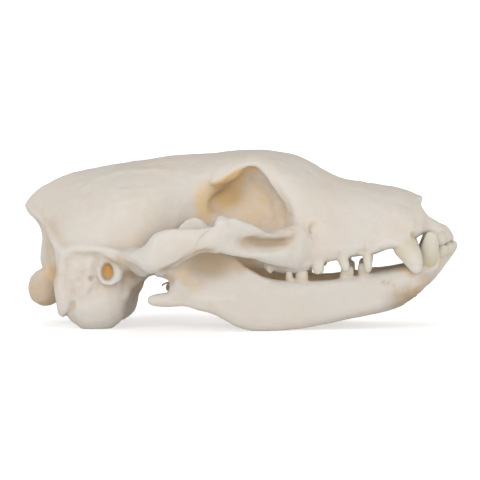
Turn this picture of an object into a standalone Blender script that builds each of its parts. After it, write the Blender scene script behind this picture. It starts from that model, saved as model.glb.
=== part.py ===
"""A life-size model of an aardwolf's skull with its lower jaw, set down as it rests.

The skull faces +X with its right side to -Y. It stands on four small flats: one under
each ear capsule and one under each half of the lower jaw. Shapes are drawn in
millimetres and the finished pieces are turned into metres at the end.
"""

import math

import bmesh
import bpy
import numpy as np
from mathutils import Matrix, Vector

# Driving sizes, in millimetres
MM = 0.001
GAP = 0.3                 # kept between pieces that touch
RIGHT, LEFT = -1, 1       # sign of Y
SIDES = ((RIGHT, "right"), (LEFT, "left"))
SKULL_GRAIN = 0.8         # how finely the fused bone is drawn before it is thinned out
JAW_GRAIN = 0.6
FAR = 90.0                # well outside the skull

# How many triangles each bone is thinned to
SKULL_TRIANGLES = 7400
CAPSULE_TRIANGLES = 600
JAW_TRIANGLES = 1300

# The trunk of the skull from the nape to the front teeth. Each row is one cross-section:
# x, height of the top, then half width and height of the brow, of the side wall and of
# the lower edge, then height of the underside.
TRUNK = [
    (-72.4, 40.3, 0.8, 40.0, 1.0, 39.5, 0.8, 39.0, 38.8),
    (-70.0, 43.0, 2.4, 41.5, 4.0, 39.0, 2.6, 37.6, 37.0),
    (-67.6, 44.9, 4.0, 42.3, 8.0, 36.5, 5.5, 34.0, 33.0),
    (-66.6, 45.6, 4.8, 42.3, 9.5, 35.8, 6.0, 26.0, 20.0),
    (-64.5, 46.9, 6.0, 42.5, 12.2, 34.0, 10.0, 24.0, 14.5),
    (-61.0, 48.9, 9.5, 42.0, 17.0, 31.0, 15.8, 21.0, 10.8),
    (-57.0, 50.5, 13.5, 41.5, 23.5, 27.5, 22.5, 18.0, 9.8),
    (-52.0, 51.6, 17.0, 42.0, 26.0, 28.0, 23.0, 17.0, 10.2),
    (-44.0, 53.0, 19.5, 43.5, 26.6, 30.0, 24.0, 18.0, 11.2),
    (-36.0, 54.3, 20.0, 45.0, 26.2, 32.0, 24.0, 19.0, 13.2),
    (-28.0, 55.5, 18.5, 46.5, 24.3, 34.0, 21.0, 20.5, 17.0),
    (-21.0, 56.3, 15.5, 48.0, 20.0, 36.0, 16.0, 21.0, 17.3),
    (-14.0, 56.9, 13.5, 50.0, 15.8, 38.5, 11.5, 22.0, 17.3),
    (-7.5, 57.4, 16.5, 51.0, 13.0, 39.0, 9.8, 22.0, 17.6),
    (-1.0, 58.0, 17.0, 52.6, 11.5, 41.0, 10.0, 22.0, 18.5),
    (6.0, 58.3, 16.5, 54.3, 13.0, 42.0, 16.0, 21.6, 20.2),
    (13.0, 57.7, 16.0, 52.0, 17.5, 40.0, 20.2, 19.8, 20.6),
    (20.0, 55.9, 15.0, 48.5, 20.0, 37.0, 21.4, 19.4, 21.2),
    (27.0, 52.2, 13.0, 45.5, 19.0, 35.5, 20.2, 21.2, 23.0),
    (35.0, 48.5, 11.5, 43.5, 17.0, 35.0, 18.6, 22.6, 24.6),
    (43.0, 47.3, 10.5, 42.5, 15.8, 35.0, 17.4, 23.6, 25.6),
    (51.0, 46.3, 9.8, 41.5, 15.5, 34.5, 17.4, 25.6, 27.2),
    (56.0, 44.6, 8.8, 40.3, 14.0, 34.5, 16.0, 28.2, 29.4),
    (60.0, 42.8, 7.8, 39.3, 11.4, 35.0, 12.0, 31.2, 31.2),
    (61.0, 39.3, 7.3, 38.0, 10.0, 35.0, 10.2, 31.6, 31.4),
    (63.0, 36.4, 7.0, 35.9, 8.8, 34.0, 8.8, 31.6, 31.2),
    (67.0, 33.9, 5.5, 33.6, 7.8, 32.8, 7.6, 31.6, 31.3),
    (69.2, 32.6, 3.2, 32.5, 4.8, 32.1, 4.6, 31.6, 31.4),
]

# Swept bones. Each row is: x, outward y, z, half height, half thickness, lean in degrees
CHEEK_ARCH = [
    (25.0, 17.5, 28.0, 7.5, 3.6, 0),
    (18.0, 23.0, 27.0, 6.8, 4.0, 0),
    (10.5, 28.6, 27.6, 5.2, 3.2, 4),
    (4.0, 33.0, 30.7, 4.8, 2.6, 6),
    (-1.5, 36.0, 32.3, 5.0, 2.2, 6),
    (-6.5, 38.3, 31.0, 3.4, 2.2, 8),
    (-11.6, 39.8, 30.1, 4.0, 2.4, 12),
    (-16.0, 40.3, 28.8, 5.7, 2.8, 16),
    (-20.5, 39.8, 27.0, 6.5, 3.3, 18),
    (-25.0, 38.0, 24.3, 5.0, 4.0, 18),
    (-29.0, 34.3, 22.9, 4.2, 4.6, 0),
    (-32.0, 28.5, 22.9, 4.4, 5.0, 0),
    (-33.5, 21.0, 23.2, 5.4, 5.5, 0),
]
EAR_SHELF = [           # the ridge over the ear, out to the jaw joint
    (-57.5, 23.6, 24.6, 1.6, 2.0, 0),
    (-50.0, 25.6, 27.0, 1.5, 2.6, 0),
    (-43.0, 26.6, 26.2, 1.5, 3.0, 0),
    (-37.5, 28.6, 24.8, 1.8, 3.6, 0),
    (-33.0, 31.5, 23.2, 2.2, 3.6, 0),
    (-28.8, 33.5, 21.6, 2.4, 3.4, 0),
]
JOINT_LIP = [           # the lip behind the jaw joint
    (-30.0, 17.0, 21.0, 2.4, 1.8, 0),
    (-29.6, 24.0, 20.2, 2.6, 1.7, 0),
    (-28.9, 32.0, 20.0, 2.3, 1.6, 0),
    (-28.0, 36.5, 21.2, 1.8, 1.6, 0),
]
NAPE_CREST = [          # from the ear region up to the nape point
    (-52.5, 25.8, 25.4, 2.0, 1.6, 0),
    (-56.0, 24.6, 25.0, 2.0, 1.5, 0),
    (-60.0, 20.0, 29.2, 1.8, 1.4, 0),
    (-64.6, 12.0, 33.8, 1.8, 1.3, 0),
    (-68.8, 5.0, 37.4, 1.6, 1.3, 0),
    (-71.4, 0.0, 39.7, 1.3, 1.2, 0),
]
NECK_SPUR = [           # the process that hangs behind the ear capsule
    (-55.0, 21.0, 25.0, 4.2, 4.6, 0),
    (-55.4, 22.0, 16.0, 3.7, 4.0, 0),
    (-55.4, 21.2, 9.5, 3.1, 3.3, 0),
    (-55.7, 20.6, 5.6, 2.5, 2.5, 0),
    (-56.0, 20.3, 3.8, 1.4, 1.5, 0),
]
BROW_SPUR = [           # the point behind the eye
    (0.5, 12.6, 52.2, 3.4, 3.2, 0),
    (-4.2, 16.2, 49.8, 2.2, 2.1, 0),
    (-7.4, 18.0, 47.4, 1.0, 1.1, 0),
]
CHEEK_GROOVE = [        # the groove under the rim of the eye socket
    (1.0, 39.2, 31.2, 1.0, 3.0, 0),
    (4.5, 37.4, 29.6, 1.9, 3.4, 0),
    (8.5, 35.0, 28.6, 2.2, 3.6, 0),
    (13.0, 32.2, 28.3, 2.1, 3.6, 0),
    (17.0, 30.0, 28.8, 1.5, 3.0, 0),
    (20.0, 28.8, 29.4, 0.8, 1.6, 0),
]
EAR_TUBE = [            # from the capsule out to the ear opening
    (-40.0, 14.0, 14.5, 4.4, 4.4, 0),
    (-40.3, 21.5, 18.6, 4.7, 4.2, 0),
    (-40.4, 25.6, 19.4, 4.8, 4.3, 0),
    (-40.4, 27.6, 19.5, 5.0, 4.5, 0),
]
EAR_CAPSULE = [
    (-53.9, 16.4, 9.0, 2.5, 4.0, 0),
    (-53.1, 16.3, 8.6, 6.6, 6.8, 0),
    (-51.2, 16.2, 8.8, 9.3, 8.6, 0),
    (-47.5, 15.8, 9.2, 10.3, 9.4, 0),
    (-44.0, 15.4, 9.8, 10.1, 9.4, 0),
    (-41.6, 14.9, 11.0, 8.5, 8.6, 0),
    (-39.6, 14.4, 13.0, 6.0, 7.6, 0),
    (-37.6, 13.9, 15.2, 4.4, 6.4, 0),
    (-34.4, 13.3, 17.4, 3.4, 5.2, 0),
    (-30.4, 12.6, 19.4, 2.4, 3.4, 0),
]
JAW_ANGLE = [           # the hook at the back of the lower jaw
    (-9.0, 27.4, 10.0, 3.4, 1.9, 0),
    (-16.0, 27.8, 10.8, 2.8, 1.8, 0),
    (-22.0, 27.8, 10.3, 2.5, 1.7, 0),
    (-25.6, 27.6, 10.2, 2.1, 1.5, 0),
    (-28.1, 27.3, 10.1, 1.1, 1.1, 0),
]
JAW_NECK = [
    (-14.0, 28.0, 19.5, 4.5, 1.8, 0),
    (-19.5, 28.0, 19.6, 3.6, 2.2, 0),
    (-23.4, 28.0, 20.0, 2.2, 2.6, 0),
]

# Round forms: centre as x, outward y, z, then half sizes along x, y, z
NECK_KNOB = ((-63.8, 9.2, 12.8), (6.0, 5.0, 6.3))
CANINE_SWELL = ((51.6, 12.6, 33.0), (6.6, 3.4, 6.6))
CHEEK_NUB = ((-3.6, 36.8, 36.6), (1.9, 1.4, 1.7))
JAW_KNOB = ((-23.6, 28.0, 20.1), (2.6, 8.2, 2.5))
CAPSULE_SHOULDER = ((-48.0, 19.2, 14.4), (5.8, 6.2, 5.4))

# Hollows, given in the same way
NECK_HOLE = ((-64.5, 0.0, 13.8), (11.0, 6.8, 4.9))
NOSE_HOLE = ((60.0, 0.0, 36.9), (9.4, 6.2, 4.2))
THROAT = ((-9.0, 0.0, 17.0), (15.0, 5.2, 5.5))
FACE_GROOVE = ((27.6, 22.6, 32.0), (4.0, 2.6, 2.4))
FACE_HOLE = ((24.9, 20.8, 32.0), (1.7, 3.0, 2.2))
EAR_HOLE = ((-41.0, 28.4, 19.3), (2.6, 7.5, 3.5))

# The rim of the eye socket in side view, as x and z
EYE_RIM = [
    (-12.5, 36.0), (-11.0, 42.0), (-6.5, 47.0), (-1.0, 51.2), (4.0, 53.9), (9.0, 52.4),
    (13.6, 47.8), (17.4, 43.0), (19.4, 38.0), (18.4, 32.8), (13.0, 29.2), (2.0, 27.5),
    (-8.0, 29.5),
]
EYE_CENTRE = (0.0, 43.5)
# How the socket widens outward: outward y and scale
EYE_DEPTH = [
    (8.0, 0.2), (8.7, 0.42), (10.3, 0.58), (13.0, 0.74), (16.5, 0.88), (20.0, 1.0), (40.0, 1.06),
]

# The lower jaw. Each row is one cross-section: x, outward y, height of the lower edge and
# of the upper edge, then half thickness low down, midway and at the top.
JAW = [
    (-20.8, 28.0, 10.0, 20.0, 0.7, 0.8, 0.6),
    (-20.2, 28.0, 8.9, 26.0, 1.5, 1.2, 0.8),
    (-18.6, 28.0, 8.6, 32.8, 2.0, 1.4, 1.0),
    (-15.5, 27.4, 8.0, 36.4, 2.4, 1.4, 1.1),
    (-12.0, 27.0, 7.1, 37.3, 2.6, 1.4, 1.1),
    (-9.0, 26.7, 6.1, 35.4, 2.7, 1.5, 1.2),
    (-6.0, 26.3, 4.9, 32.4, 2.7, 1.7, 1.3),
    (-3.0, 25.8, 3.3, 28.2, 2.6, 2.0, 1.6),
    (0.4, 25.0, 1.4, 24.0, 2.6, 2.3, 1.9),
    (4.0, 23.8, 0.1, 20.8, 2.7, 2.6, 2.2),
    (8.0, 22.6, -0.4, 18.2, 2.7, 2.8, 2.5),
    (14.0, 20.8, -0.4, 16.5, 2.7, 3.0, 2.6),
    (21.0, 18.8, 0.3, 16.1, 2.7, 3.0, 2.6),
    (29.0, 16.3, 1.6, 16.3, 2.8, 3.1, 2.6),
    (37.0, 13.9, 3.1, 17.2, 3.2, 3.4, 2.7),
    (44.0, 11.5, 4.5, 18.6, 4.0, 4.0, 3.0),
    (49.0, 8.9, 5.5, 19.3, 5.4, 5.6, 4.2),
    (53.0, 6.4, 6.6, 20.1, 6.2, 6.9, 6.0),
    (57.0, 5.8, 9.2, 21.0, 5.6, 6.5, 6.3),
    (61.0, 5.4, 12.5, 21.9, 4.6, 6.1, 6.2),
    (64.5, 4.0, 15.7, 22.9, 3.6, 5.0, 5.2),
    (67.3, 2.8, 19.2, 23.6, 2.6, 3.5, 3.8),
    (68.8, 2.0, 21.6, 23.8, 1.2, 2.2, 2.4),
]

# Teeth: gum point, tip, half length along the jaw, half thickness across it, forward bow
UPPER_TEETH = [
    ((67.9, 1.5, 31.4), (70.4, 1.6, 28.1), 1.8, 1.45, 0.2),
    ((66.9, 4.4, 31.4), (69.2, 4.8, 27.8), 1.9, 1.5, 0.2),
    ((64.9, 7.0, 31.4), (67.0, 7.6, 27.2), 2.2, 1.6, 0.2),
    ((53.8, 14.6, 28.0), (58.8, 16.6, 18.5), 4.1, 2.6, 0.9),
    ((42.2, 16.8, 25.6), (42.8, 17.6, 18.6), 1.4, 1.3, 0.2),
    ((33.9, 17.8, 24.0), (35.6, 18.6, 19.2), 2.0, 1.4, 0.2),
    ((25.8, 19.2, 22.8), (27.6, 20.0, 18.6), 2.2, 1.5, 0.1),
    ((10.4, 20.0, 21.0), (11.6, 20.6, 18.6), 1.2, 1.2, 0.0),
]
LOWER_TEETH = [
    ((68.6, 1.6, 23.0), (71.4, 1.7, 27.4), 1.5, 1.35, 0.1),
    ((67.2, 4.3, 22.8), (69.9, 4.7, 27.0), 1.6, 1.4, 0.1),
    ((65.4, 6.8, 22.4), (67.7, 7.4, 26.4), 1.7, 1.4, 0.1),
    ((61.9, 9.2, 21.2), (62.2, 12.6, 31.4), 3.9, 2.4, 0.9),
    ((41.3, 13.0, 17.9), (41.2, 13.6, 21.0), 1.8, 1.3, 0.0),
    ((35.7, 14.4, 17.0), (36.9, 14.9, 20.4), 2.4, 1.5, 0.0),
    ((21.3, 18.6, 15.9), (21.5, 18.6, 18.9), 2.3, 1.5, 0.0),
    ((18.0, 19.6, 15.9), (17.8, 19.6, 18.5), 1.2, 1.3, 0.0),
]
# How a tooth narrows: part of the way from gum to tip, and its share of the full size
BIG_TOOTH = 2.5           # half length from which a tooth is drawn with more points
TOOTH_SHAPE = ((-0.35, 0.75), (0, 1.0), (0.35, 0.88), (0.7, 0.66), (0.93, 0.4), (1, 0.2))

# Where the skull is parted, as side-view outlines of the piece taken off (x and z)
CHEEK_CUT = [
    (-28.5, 15.7), (-6.4, 34.5), (-6.4, 42.0), (13.6, 42.0), (13.0, 34.0), (5.5, 21.0),
    (5.0, 10.0), (-28.5, 10.0),
]
CHEEK_CUT_Y = 21.8
SNOUT_CUT = [(21.3, 70.0), (21.3, 33.8), (3.0, 33.8), (3.0, 5.0), (80.0, 5.0), (80.0, 70.0)]
NAPE_CUT = [(-53.4, -5.0), (-53.4, 21.6), (-72.0, 38.2), (-80.0, 41.0), (-80.0, -5.0)]

# The wire at each jaw joint
WIRE_RADIUS = 0.3
WIRE_START = (-19.0, 27.2, 16.6)
WIRE_END = (-23.9, 26.4, 15.0)

BONE = (0.72, 0.66, 0.55, 1.0)
STEEL = (0.30, 0.30, 0.31, 1.0)


def smooth_rows(rows, count):
    """Rows spaced along a smooth curve that passes through the given rows."""
    rows = np.array(rows, float)
    padded = np.vstack([2 * rows[0] - rows[1], rows, 2 * rows[-1] - rows[-2]])
    out = []
    for place in np.linspace(0, len(rows) - 1, count):
        i = min(int(place), len(rows) - 2)
        t = place - i
        a, b, c, d = padded[i : i + 4]
        bend = 2 * a - 5 * b + 4 * c - d
        twist = 3 * b - a - 3 * c + d
        out.append(0.5 * (2 * b + (c - a) * t + bend * t**2 + twist * t**3))
    return out


def closed_curve(points, steps):
    """Points on a smooth closed curve, so many steps from each given point to the next."""
    n = len(points)
    wrapped = [points[(i - 2) % n] for i in range(n + 5)]
    rows = smooth_rows(wrapped, (n + 4) * steps + 1)
    return rows[2 * steps : (2 + n) * steps]


def loft(rings):
    """A closed skin drawn over rings of points."""
    bm = bmesh.new()
    loop = [bm.verts.new(p) for p in rings[0]]
    bm.faces.new(loop)
    for ring in rings[1:]:
        edges = [bm.edges.get(pair) for pair in zip(loop, loop[1:] + loop[:1])]
        made = bmesh.ops.extrude_edge_only(bm, edges=edges)["geom"]
        copies = {v.co.to_tuple(): v for v in made if isinstance(v, bmesh.types.BMVert)}
        loop = [copies[v.co.to_tuple()] for v in loop]
        for vertex, point in zip(loop, ring):
            vertex.co = point
    bm.faces.new(loop)
    bmesh.ops.recalc_face_normals(bm, faces=bm.faces)
    return bm


def trunk():
    rings = []
    for row in smooth_rows(TRUNK, 3 * len(TRUNK)):
        x, top, *walls, under = row
        half = [(walls[0], walls[1]), (walls[2], walls[3]), (walls[4], walls[5])]
        other = [(-w, z) for w, z in reversed(half)]
        outline = closed_curve([(0, top), *half, (0, under), *other], 6)
        rings.append([(x, y, z) for y, z in outline])
    return loft(rings)


def jaw_plate(side):
    rings = []
    for x, y, low, high, thick_low, thick_mid, thick_high in smooth_rows(JAW, 3 * len(JAW)):
        tall = high - low
        half = [(thick_low, low + 0.16 * tall), (thick_mid, low + 0.5 * tall)]
        half.append((thick_high, high - 0.1 * tall))
        other = [(-t, z) for t, z in half]
        outline = closed_curve([(0, low), *half, (0, high), *reversed(other)], 3)
        rings.append([(x, side * (y + t), z) for t, z in outline])
    return loft(rings)


def sweep(rows, side, up=(0, 0, 1), points=14, finer=4):
    """A bone swept along its rows, oval across, on one side of the skull."""
    rows = smooth_rows(rows, finer * len(rows))
    centres = [Vector((r[0], side * r[1], r[2])) for r in rows]
    rings = []
    for i, row in enumerate(rows):
        along = (centres[min(i + 1, len(rows) - 1)] - centres[max(i - 1, 0)]).normalized()
        across = along.cross(Vector(up)).normalized()
        upward = across.cross(along).normalized()
        turn = Matrix.Rotation(math.radians(row[5]) * side, 3, along)
        across, upward = turn @ across * row[4], turn @ upward * row[3]
        angles = np.linspace(0, 2 * math.pi, points, endpoint=False)
        rings.append([centres[i] + across * math.cos(a) + upward * math.sin(a) for a in angles])
    return loft(rings)


def tooth(form, side):
    """A peg that narrows from its gum to its tip, with its root sunk in the bone."""
    gum, tip, half_length, half_thickness, bow = form
    gum, tip = np.array(gum), np.array(tip)
    rows = []
    for t, size in TOOTH_SHAPE:
        centre = gum + (tip - gum) * t
        centre[0] += 4 * bow * max(t, 0) * (1 - t)
        rows.append((*centre, size * half_length, size * half_thickness, 0))
    return sweep(rows, side, up=(1, 0, 0), points=9 if half_length > BIG_TOOTH else 7, finer=1)


def ball(form, side=1, grow=0.0, around=24):
    """An ellipsoid, given its centre and half sizes."""
    (x, y, z), radii = form
    place = Matrix.LocRotScale(Vector((x, side * y, z)), None, Vector([r + grow for r in radii]))
    bm = bmesh.new()
    bmesh.ops.create_uvsphere(bm, u_segments=around, v_segments=around // 2, radius=1, matrix=place)
    return bm


def rod(start, end, radius, side, around=10):
    """A round rod between two points."""
    start, end = (Vector((p[0], side * p[1], p[2])) for p in (start, end))
    turn = (end - start).to_track_quat("Z", "Y")
    place = Matrix.LocRotScale((start + end) / 2, turn, None)
    bm = bmesh.new()
    bmesh.ops.create_cone(
        bm,
        cap_ends=True,
        segments=around,
        radius1=radius,
        radius2=radius,
        depth=(end - start).length,
        matrix=place,
    )
    return bm


def prism(outline, low_y, high_y, grow=0.0):
    """A side-view outline made solid between two values of y, pushed out by grow."""
    points = [Vector(p) for p in outline]
    n = len(points)
    area = sum(points[i - 1].cross(points[i]) for i in range(n))
    pushed = []
    for i in range(n):
        before = (points[i] - points[i - 1]).normalized()
        after = (points[(i + 1) % n] - points[i]).normalized()
        outward = [Vector((d.y, -d.x)) * math.copysign(1, area) for d in (before, after)]
        middle = (outward[0] + outward[1]).normalized()
        pushed.append(points[i] + middle * grow / middle.dot(outward[0]))
    return loft([[(p.x, y, p.y) for p in pushed] for y in (low_y - grow, high_y + grow)])


def eye_socket(side):
    centre = np.array(EYE_CENTRE)
    rim = closed_curve(EYE_RIM, 4)
    rings = []
    for y, scale in EYE_DEPTH:
        ring = [centre + (p - centre) * scale for p in rim]
        rings.append([(x, side * y, z) for x, z in ring])
    return loft(rings)


def to_object(name, shapes):
    """One object that holds these shapes, each still a shell of its own."""
    whole = bmesh.new()
    for shape in shapes:
        piece = bpy.data.meshes.new("piece")
        shape.to_mesh(piece)
        shape.free()
        whole.from_mesh(piece)
        bpy.data.meshes.remove(piece)
    mesh = bpy.data.meshes.new(name)
    whole.to_mesh(mesh)
    whole.free()
    obj = bpy.data.objects.new(name, mesh)
    bpy.context.scene.collection.objects.link(obj)
    return obj


def bake(obj):
    """Applies an object's modifiers to its mesh."""
    graph = bpy.context.evaluated_depsgraph_get()
    graph.update()
    mesh = bpy.data.meshes.new_from_object(obj.evaluated_get(graph))
    obj.modifiers.clear()
    old, obj.data = obj.data, mesh
    bpy.data.meshes.remove(old)


def add_shells(obj, shapes):
    """Puts more shells beside an object's own, ready to be fused."""
    extra = to_object("extra", shapes)
    both = bmesh.new()
    both.from_mesh(obj.data)
    both.from_mesh(extra.data)
    both.to_mesh(obj.data)
    both.free()
    bpy.data.objects.remove(extra)


def fuse(obj, grain, rounds):
    """Melts overlapping shells into one surface and softens the joins."""
    remesh = obj.modifiers.new("remesh", "REMESH")
    remesh.mode = "VOXEL"
    remesh.voxel_size = grain
    soften = obj.modifiers.new("soften", "SMOOTH")
    soften.factor = 0.5
    soften.iterations = rounds
    bake(obj)


def change(obj, shapes, operation):
    """Adds closed shapes to an object, takes them away, or keeps what they share."""
    tool = shapes if isinstance(shapes, bpy.types.Object) else to_object("tool", shapes)
    step = obj.modifiers.new("change", "BOOLEAN")
    step.operation = operation
    step.solver = "EXACT"
    step.object = tool
    bake(obj)
    bpy.data.objects.remove(tool)


def thin_out(obj, triangles):
    """Lowers the number of triangles to about the one given."""
    now = sum(len(p.vertices) - 2 for p in obj.data.polygons)
    fewer = obj.modifiers.new("fewer", "DECIMATE")
    fewer.ratio = triangles / now
    bake(obj)


def keep_largest(obj):
    """Keeps the biggest closed surface of an object."""
    bm = bmesh.new()
    bm.from_mesh(obj.data)
    unseen, best = set(bm.faces), []
    while unseen:
        group, todo = [], [unseen.pop()]
        while todo:
            face = todo.pop()
            group.append(face)
            near = {other for edge in face.edges for other in edge.link_faces}
            todo.extend(near & unseen)
            unseen -= near
        best = max(best, group, key=len)
    best = set(best)
    bmesh.ops.delete(bm, geom=[f for f in bm.faces if f not in best], context="FACES")
    bm.to_mesh(obj.data)
    bm.free()


def copy_of(obj, name, grow=0.0, mirrored=False):
    """A copy of an object, fattened by grow or turned into its mirror image."""
    bm = bmesh.new()
    bm.from_mesh(obj.data)
    bm.normal_update()
    for vertex in bm.verts:
        vertex.co += vertex.normal * grow
        if mirrored:
            vertex.co.y = -vertex.co.y
    if mirrored:
        bmesh.ops.reverse_faces(bm, faces=bm.faces)
    return to_object(name, [bm])


def part_off(whole, name, outline, low_y=-FAR, high_y=FAR):
    """Takes the piece inside an outline off a bone and leaves a thin gap."""
    piece = copy_of(whole, name)
    change(piece, [prism(outline, low_y, high_y)], "INTERSECT")
    change(whole, [prism(outline, low_y, high_y, GAP)], "DIFFERENCE")
    keep_largest(piece)
    return piece


def cranium():
    """The skull without its ear capsules and teeth, still in one piece."""
    skull = to_object("braincase", [trunk()])
    fuse(skull, SKULL_GRAIN, 1)
    hollows = [eye_socket(side) for side, _ in SIDES]
    hollows += [ball(NECK_HOLE), ball(NOSE_HOLE), ball(THROAT)]
    change(skull, hollows, "DIFFERENCE")
    more = []
    for side, _ in SIDES:
        for rows in (CHEEK_ARCH, EAR_SHELF, JOINT_LIP, NAPE_CREST, BROW_SPUR):
            more.append(sweep(rows, side))
        more.append(sweep(NECK_SPUR, side, up=(1, 0, 0)))
        more += [ball(form, side) for form in (NECK_KNOB, CANINE_SWELL, CHEEK_NUB)]
    add_shells(skull, more)
    fuse(skull, SKULL_GRAIN, 2)
    for side, _ in SIDES:
        for hollow in (sweep(CHEEK_GROOVE, side), ball(FACE_GROOVE, side), ball(FACE_HOLE, side)):
            change(skull, [hollow], "DIFFERENCE")
    fuse(skull, SKULL_GRAIN, 3)
    thin_out(skull, SKULL_TRIANGLES)
    return skull


def ear_capsule():
    """The right ear capsule with its tube and opening."""
    shapes = [sweep(EAR_CAPSULE, RIGHT, points=20), sweep(EAR_TUBE, RIGHT)]
    capsule = to_object("bulla_right", shapes + [ball(CAPSULE_SHOULDER, RIGHT)])
    fuse(capsule, JAW_GRAIN, 4)
    change(capsule, [ball(EAR_HOLE, RIGHT, around=16)], "DIFFERENCE")
    fuse(capsule, JAW_GRAIN, 2)
    thin_out(capsule, CAPSULE_TRIANGLES)
    return capsule


def lower_jaw():
    """The right half of the lower jaw."""
    shapes = [jaw_plate(RIGHT), sweep(JAW_ANGLE, RIGHT), sweep(JAW_NECK, RIGHT)]
    jaw = to_object("mandible_right", shapes + [ball(JAW_KNOB, RIGHT)])
    fuse(jaw, JAW_GRAIN, 4)
    thin_out(jaw, JAW_TRIANGLES)
    square = [(-FAR, -FAR), (FAR, -FAR), (FAR, FAR), (-FAR, FAR)]
    change(jaw, [prism(square, -GAP / 2, FAR)], "DIFFERENCE")
    return jaw


def floor_cut(obj):
    """Takes off what lies under the floor, which leaves a small flat to rest on."""
    under = prism([(-FAR, -FAR), (FAR, -FAR), (FAR, 0), (-FAR, 0)], -FAR, FAR)
    change(obj, [under], "DIFFERENCE")
    keep_largest(obj)


def wire(side, name, grow=0.0):
    shape = rod(WIRE_START, WIRE_END, WIRE_RADIUS + grow, side)
    return to_object(name, [shape])


def finish(obj, colour, roughness, metallic):
    material = bpy.data.materials.new(obj.name)
    material.use_nodes = True
    shader = material.node_tree.nodes["Principled BSDF"]
    shader.inputs["Base Color"].default_value = colour
    shader.inputs["Roughness"].default_value = roughness
    shader.inputs["Metallic"].default_value = metallic
    obj.data.materials.clear()
    obj.data.materials.append(material)
    obj.data.shade_smooth()
    obj.data.set_sharp_from_angle(angle=math.radians(40))


def centre_on_floor(pieces):
    """Moves everything so the middle of its box stands over the origin, then to metres."""
    corners = np.array([v.co for obj in pieces for v in obj.data.vertices])
    low, high = corners.min(axis=0), corners.max(axis=0)
    shift = Vector((-(low[0] + high[0]) / 2, -(low[1] + high[1]) / 2, -low[2]))
    print("moved by", [round(v, 3) for v in shift], "size", [round(v, 2) for v in high - low])
    for obj in pieces:
        obj.data.transform(Matrix.Scale(MM, 4) @ Matrix.Translation(shift))


def main():
    for obj in list(bpy.data.objects):
        bpy.data.objects.remove(obj)

    jaw_right = lower_jaw()
    skull = cranium()
    capsule_right = ear_capsule()
    for side, _ in SIDES:
        mirrored = side == LEFT
        change(skull, copy_of(capsule_right, "pocket", GAP, mirrored), "DIFFERENCE")
        change(skull, [ball(JAW_KNOB, side, GAP)], "DIFFERENCE")
    floor_cut(capsule_right)
    copy_of(capsule_right, "bulla_left", mirrored=True)

    for side, name in SIDES:
        span = sorted((side * CHEEK_CUT_Y, side * FAR))
        part_off(skull, f"zygomatic_{name}", CHEEK_CUT, *span)
    snout = part_off(skull, "rostrum", SNOUT_CUT)
    part_off(skull, "occiput", NAPE_CUT)
    keep_largest(skull)

    for side, _ in SIDES:
        for form in UPPER_TEETH:
            change(snout, [tooth(form, side)], "UNION")
    for form in LOWER_TEETH:
        change(jaw_right, [tooth(form, RIGHT)], "UNION")
    change(jaw_right, wire(RIGHT, "hole", GAP), "DIFFERENCE")
    floor_cut(jaw_right)
    copy_of(jaw_right, "mandible_left", mirrored=True)

    pieces = list(bpy.context.scene.collection.objects)
    for obj in pieces:
        finish(obj, BONE, 0.62, 0.0)
    wires = [wire(side, f"jaw_wire_{name}") for side, name in SIDES]
    for obj in wires:
        finish(obj, STEEL, 0.4, 1.0)
    centre_on_floor(pieces + wires)


main()
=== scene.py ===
# %% [markdown]
# # The skull of an aardwolf
# An aardwolf is a small relative of the hyenas that licks up termites, so its skull is long and
# light and its cheek teeth are only small pegs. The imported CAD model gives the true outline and
# every size. This lesson draws finer bone over it, adds the teeth, and gives both their finish.

import math

import bmesh
import bpy
import numpy as np
from mathutils import Matrix, Vector, noise
from mathutils.bvhtree import BVHTree


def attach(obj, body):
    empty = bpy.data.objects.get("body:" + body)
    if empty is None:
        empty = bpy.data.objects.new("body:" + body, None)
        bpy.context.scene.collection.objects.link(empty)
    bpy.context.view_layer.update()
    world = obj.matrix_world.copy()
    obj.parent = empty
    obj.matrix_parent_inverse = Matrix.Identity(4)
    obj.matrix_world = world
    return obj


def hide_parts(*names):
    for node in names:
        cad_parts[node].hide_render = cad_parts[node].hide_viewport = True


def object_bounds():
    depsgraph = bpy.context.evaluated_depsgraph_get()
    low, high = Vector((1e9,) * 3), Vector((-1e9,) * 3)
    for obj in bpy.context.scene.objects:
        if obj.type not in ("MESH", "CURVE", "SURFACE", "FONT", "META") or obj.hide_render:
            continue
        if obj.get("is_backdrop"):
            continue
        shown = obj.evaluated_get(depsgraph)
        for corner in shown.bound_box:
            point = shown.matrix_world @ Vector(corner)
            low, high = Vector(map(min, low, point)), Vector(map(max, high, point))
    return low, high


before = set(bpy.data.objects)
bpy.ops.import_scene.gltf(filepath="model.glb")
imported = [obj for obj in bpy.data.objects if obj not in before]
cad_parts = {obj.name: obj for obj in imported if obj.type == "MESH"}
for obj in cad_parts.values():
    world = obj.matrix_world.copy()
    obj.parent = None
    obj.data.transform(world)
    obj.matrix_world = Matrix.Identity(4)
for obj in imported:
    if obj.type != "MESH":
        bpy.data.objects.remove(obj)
cad_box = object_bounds()
print("nodes", sorted(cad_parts))

# %% [markdown]
# ## Sizes that everything shares
# A skull is easiest to think of in millimetres, so every size below is in millimetres and is
# turned into metres when a mesh is written. The skull faces +X and its right side is at -Y, so a
# place that both sides share gives y as the distance out from the middle.

# %% Shared sizes
MM = 0.001
SIDES = ((-1, "right"), (1, "left"))
DRAWN_SHIFT = 0.15  # how far forward the solids moved when the model was centred
SKULL_BONES = (
    "braincase", "rostrum", "occiput", "zygomatic_right", "zygomatic_left", "bulla_right", "bulla_left"
)
HALF_GAP = 0.26  # closes the thin gaps between copied bones
WELD = 0.01  # copied corners closer than this become one

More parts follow.
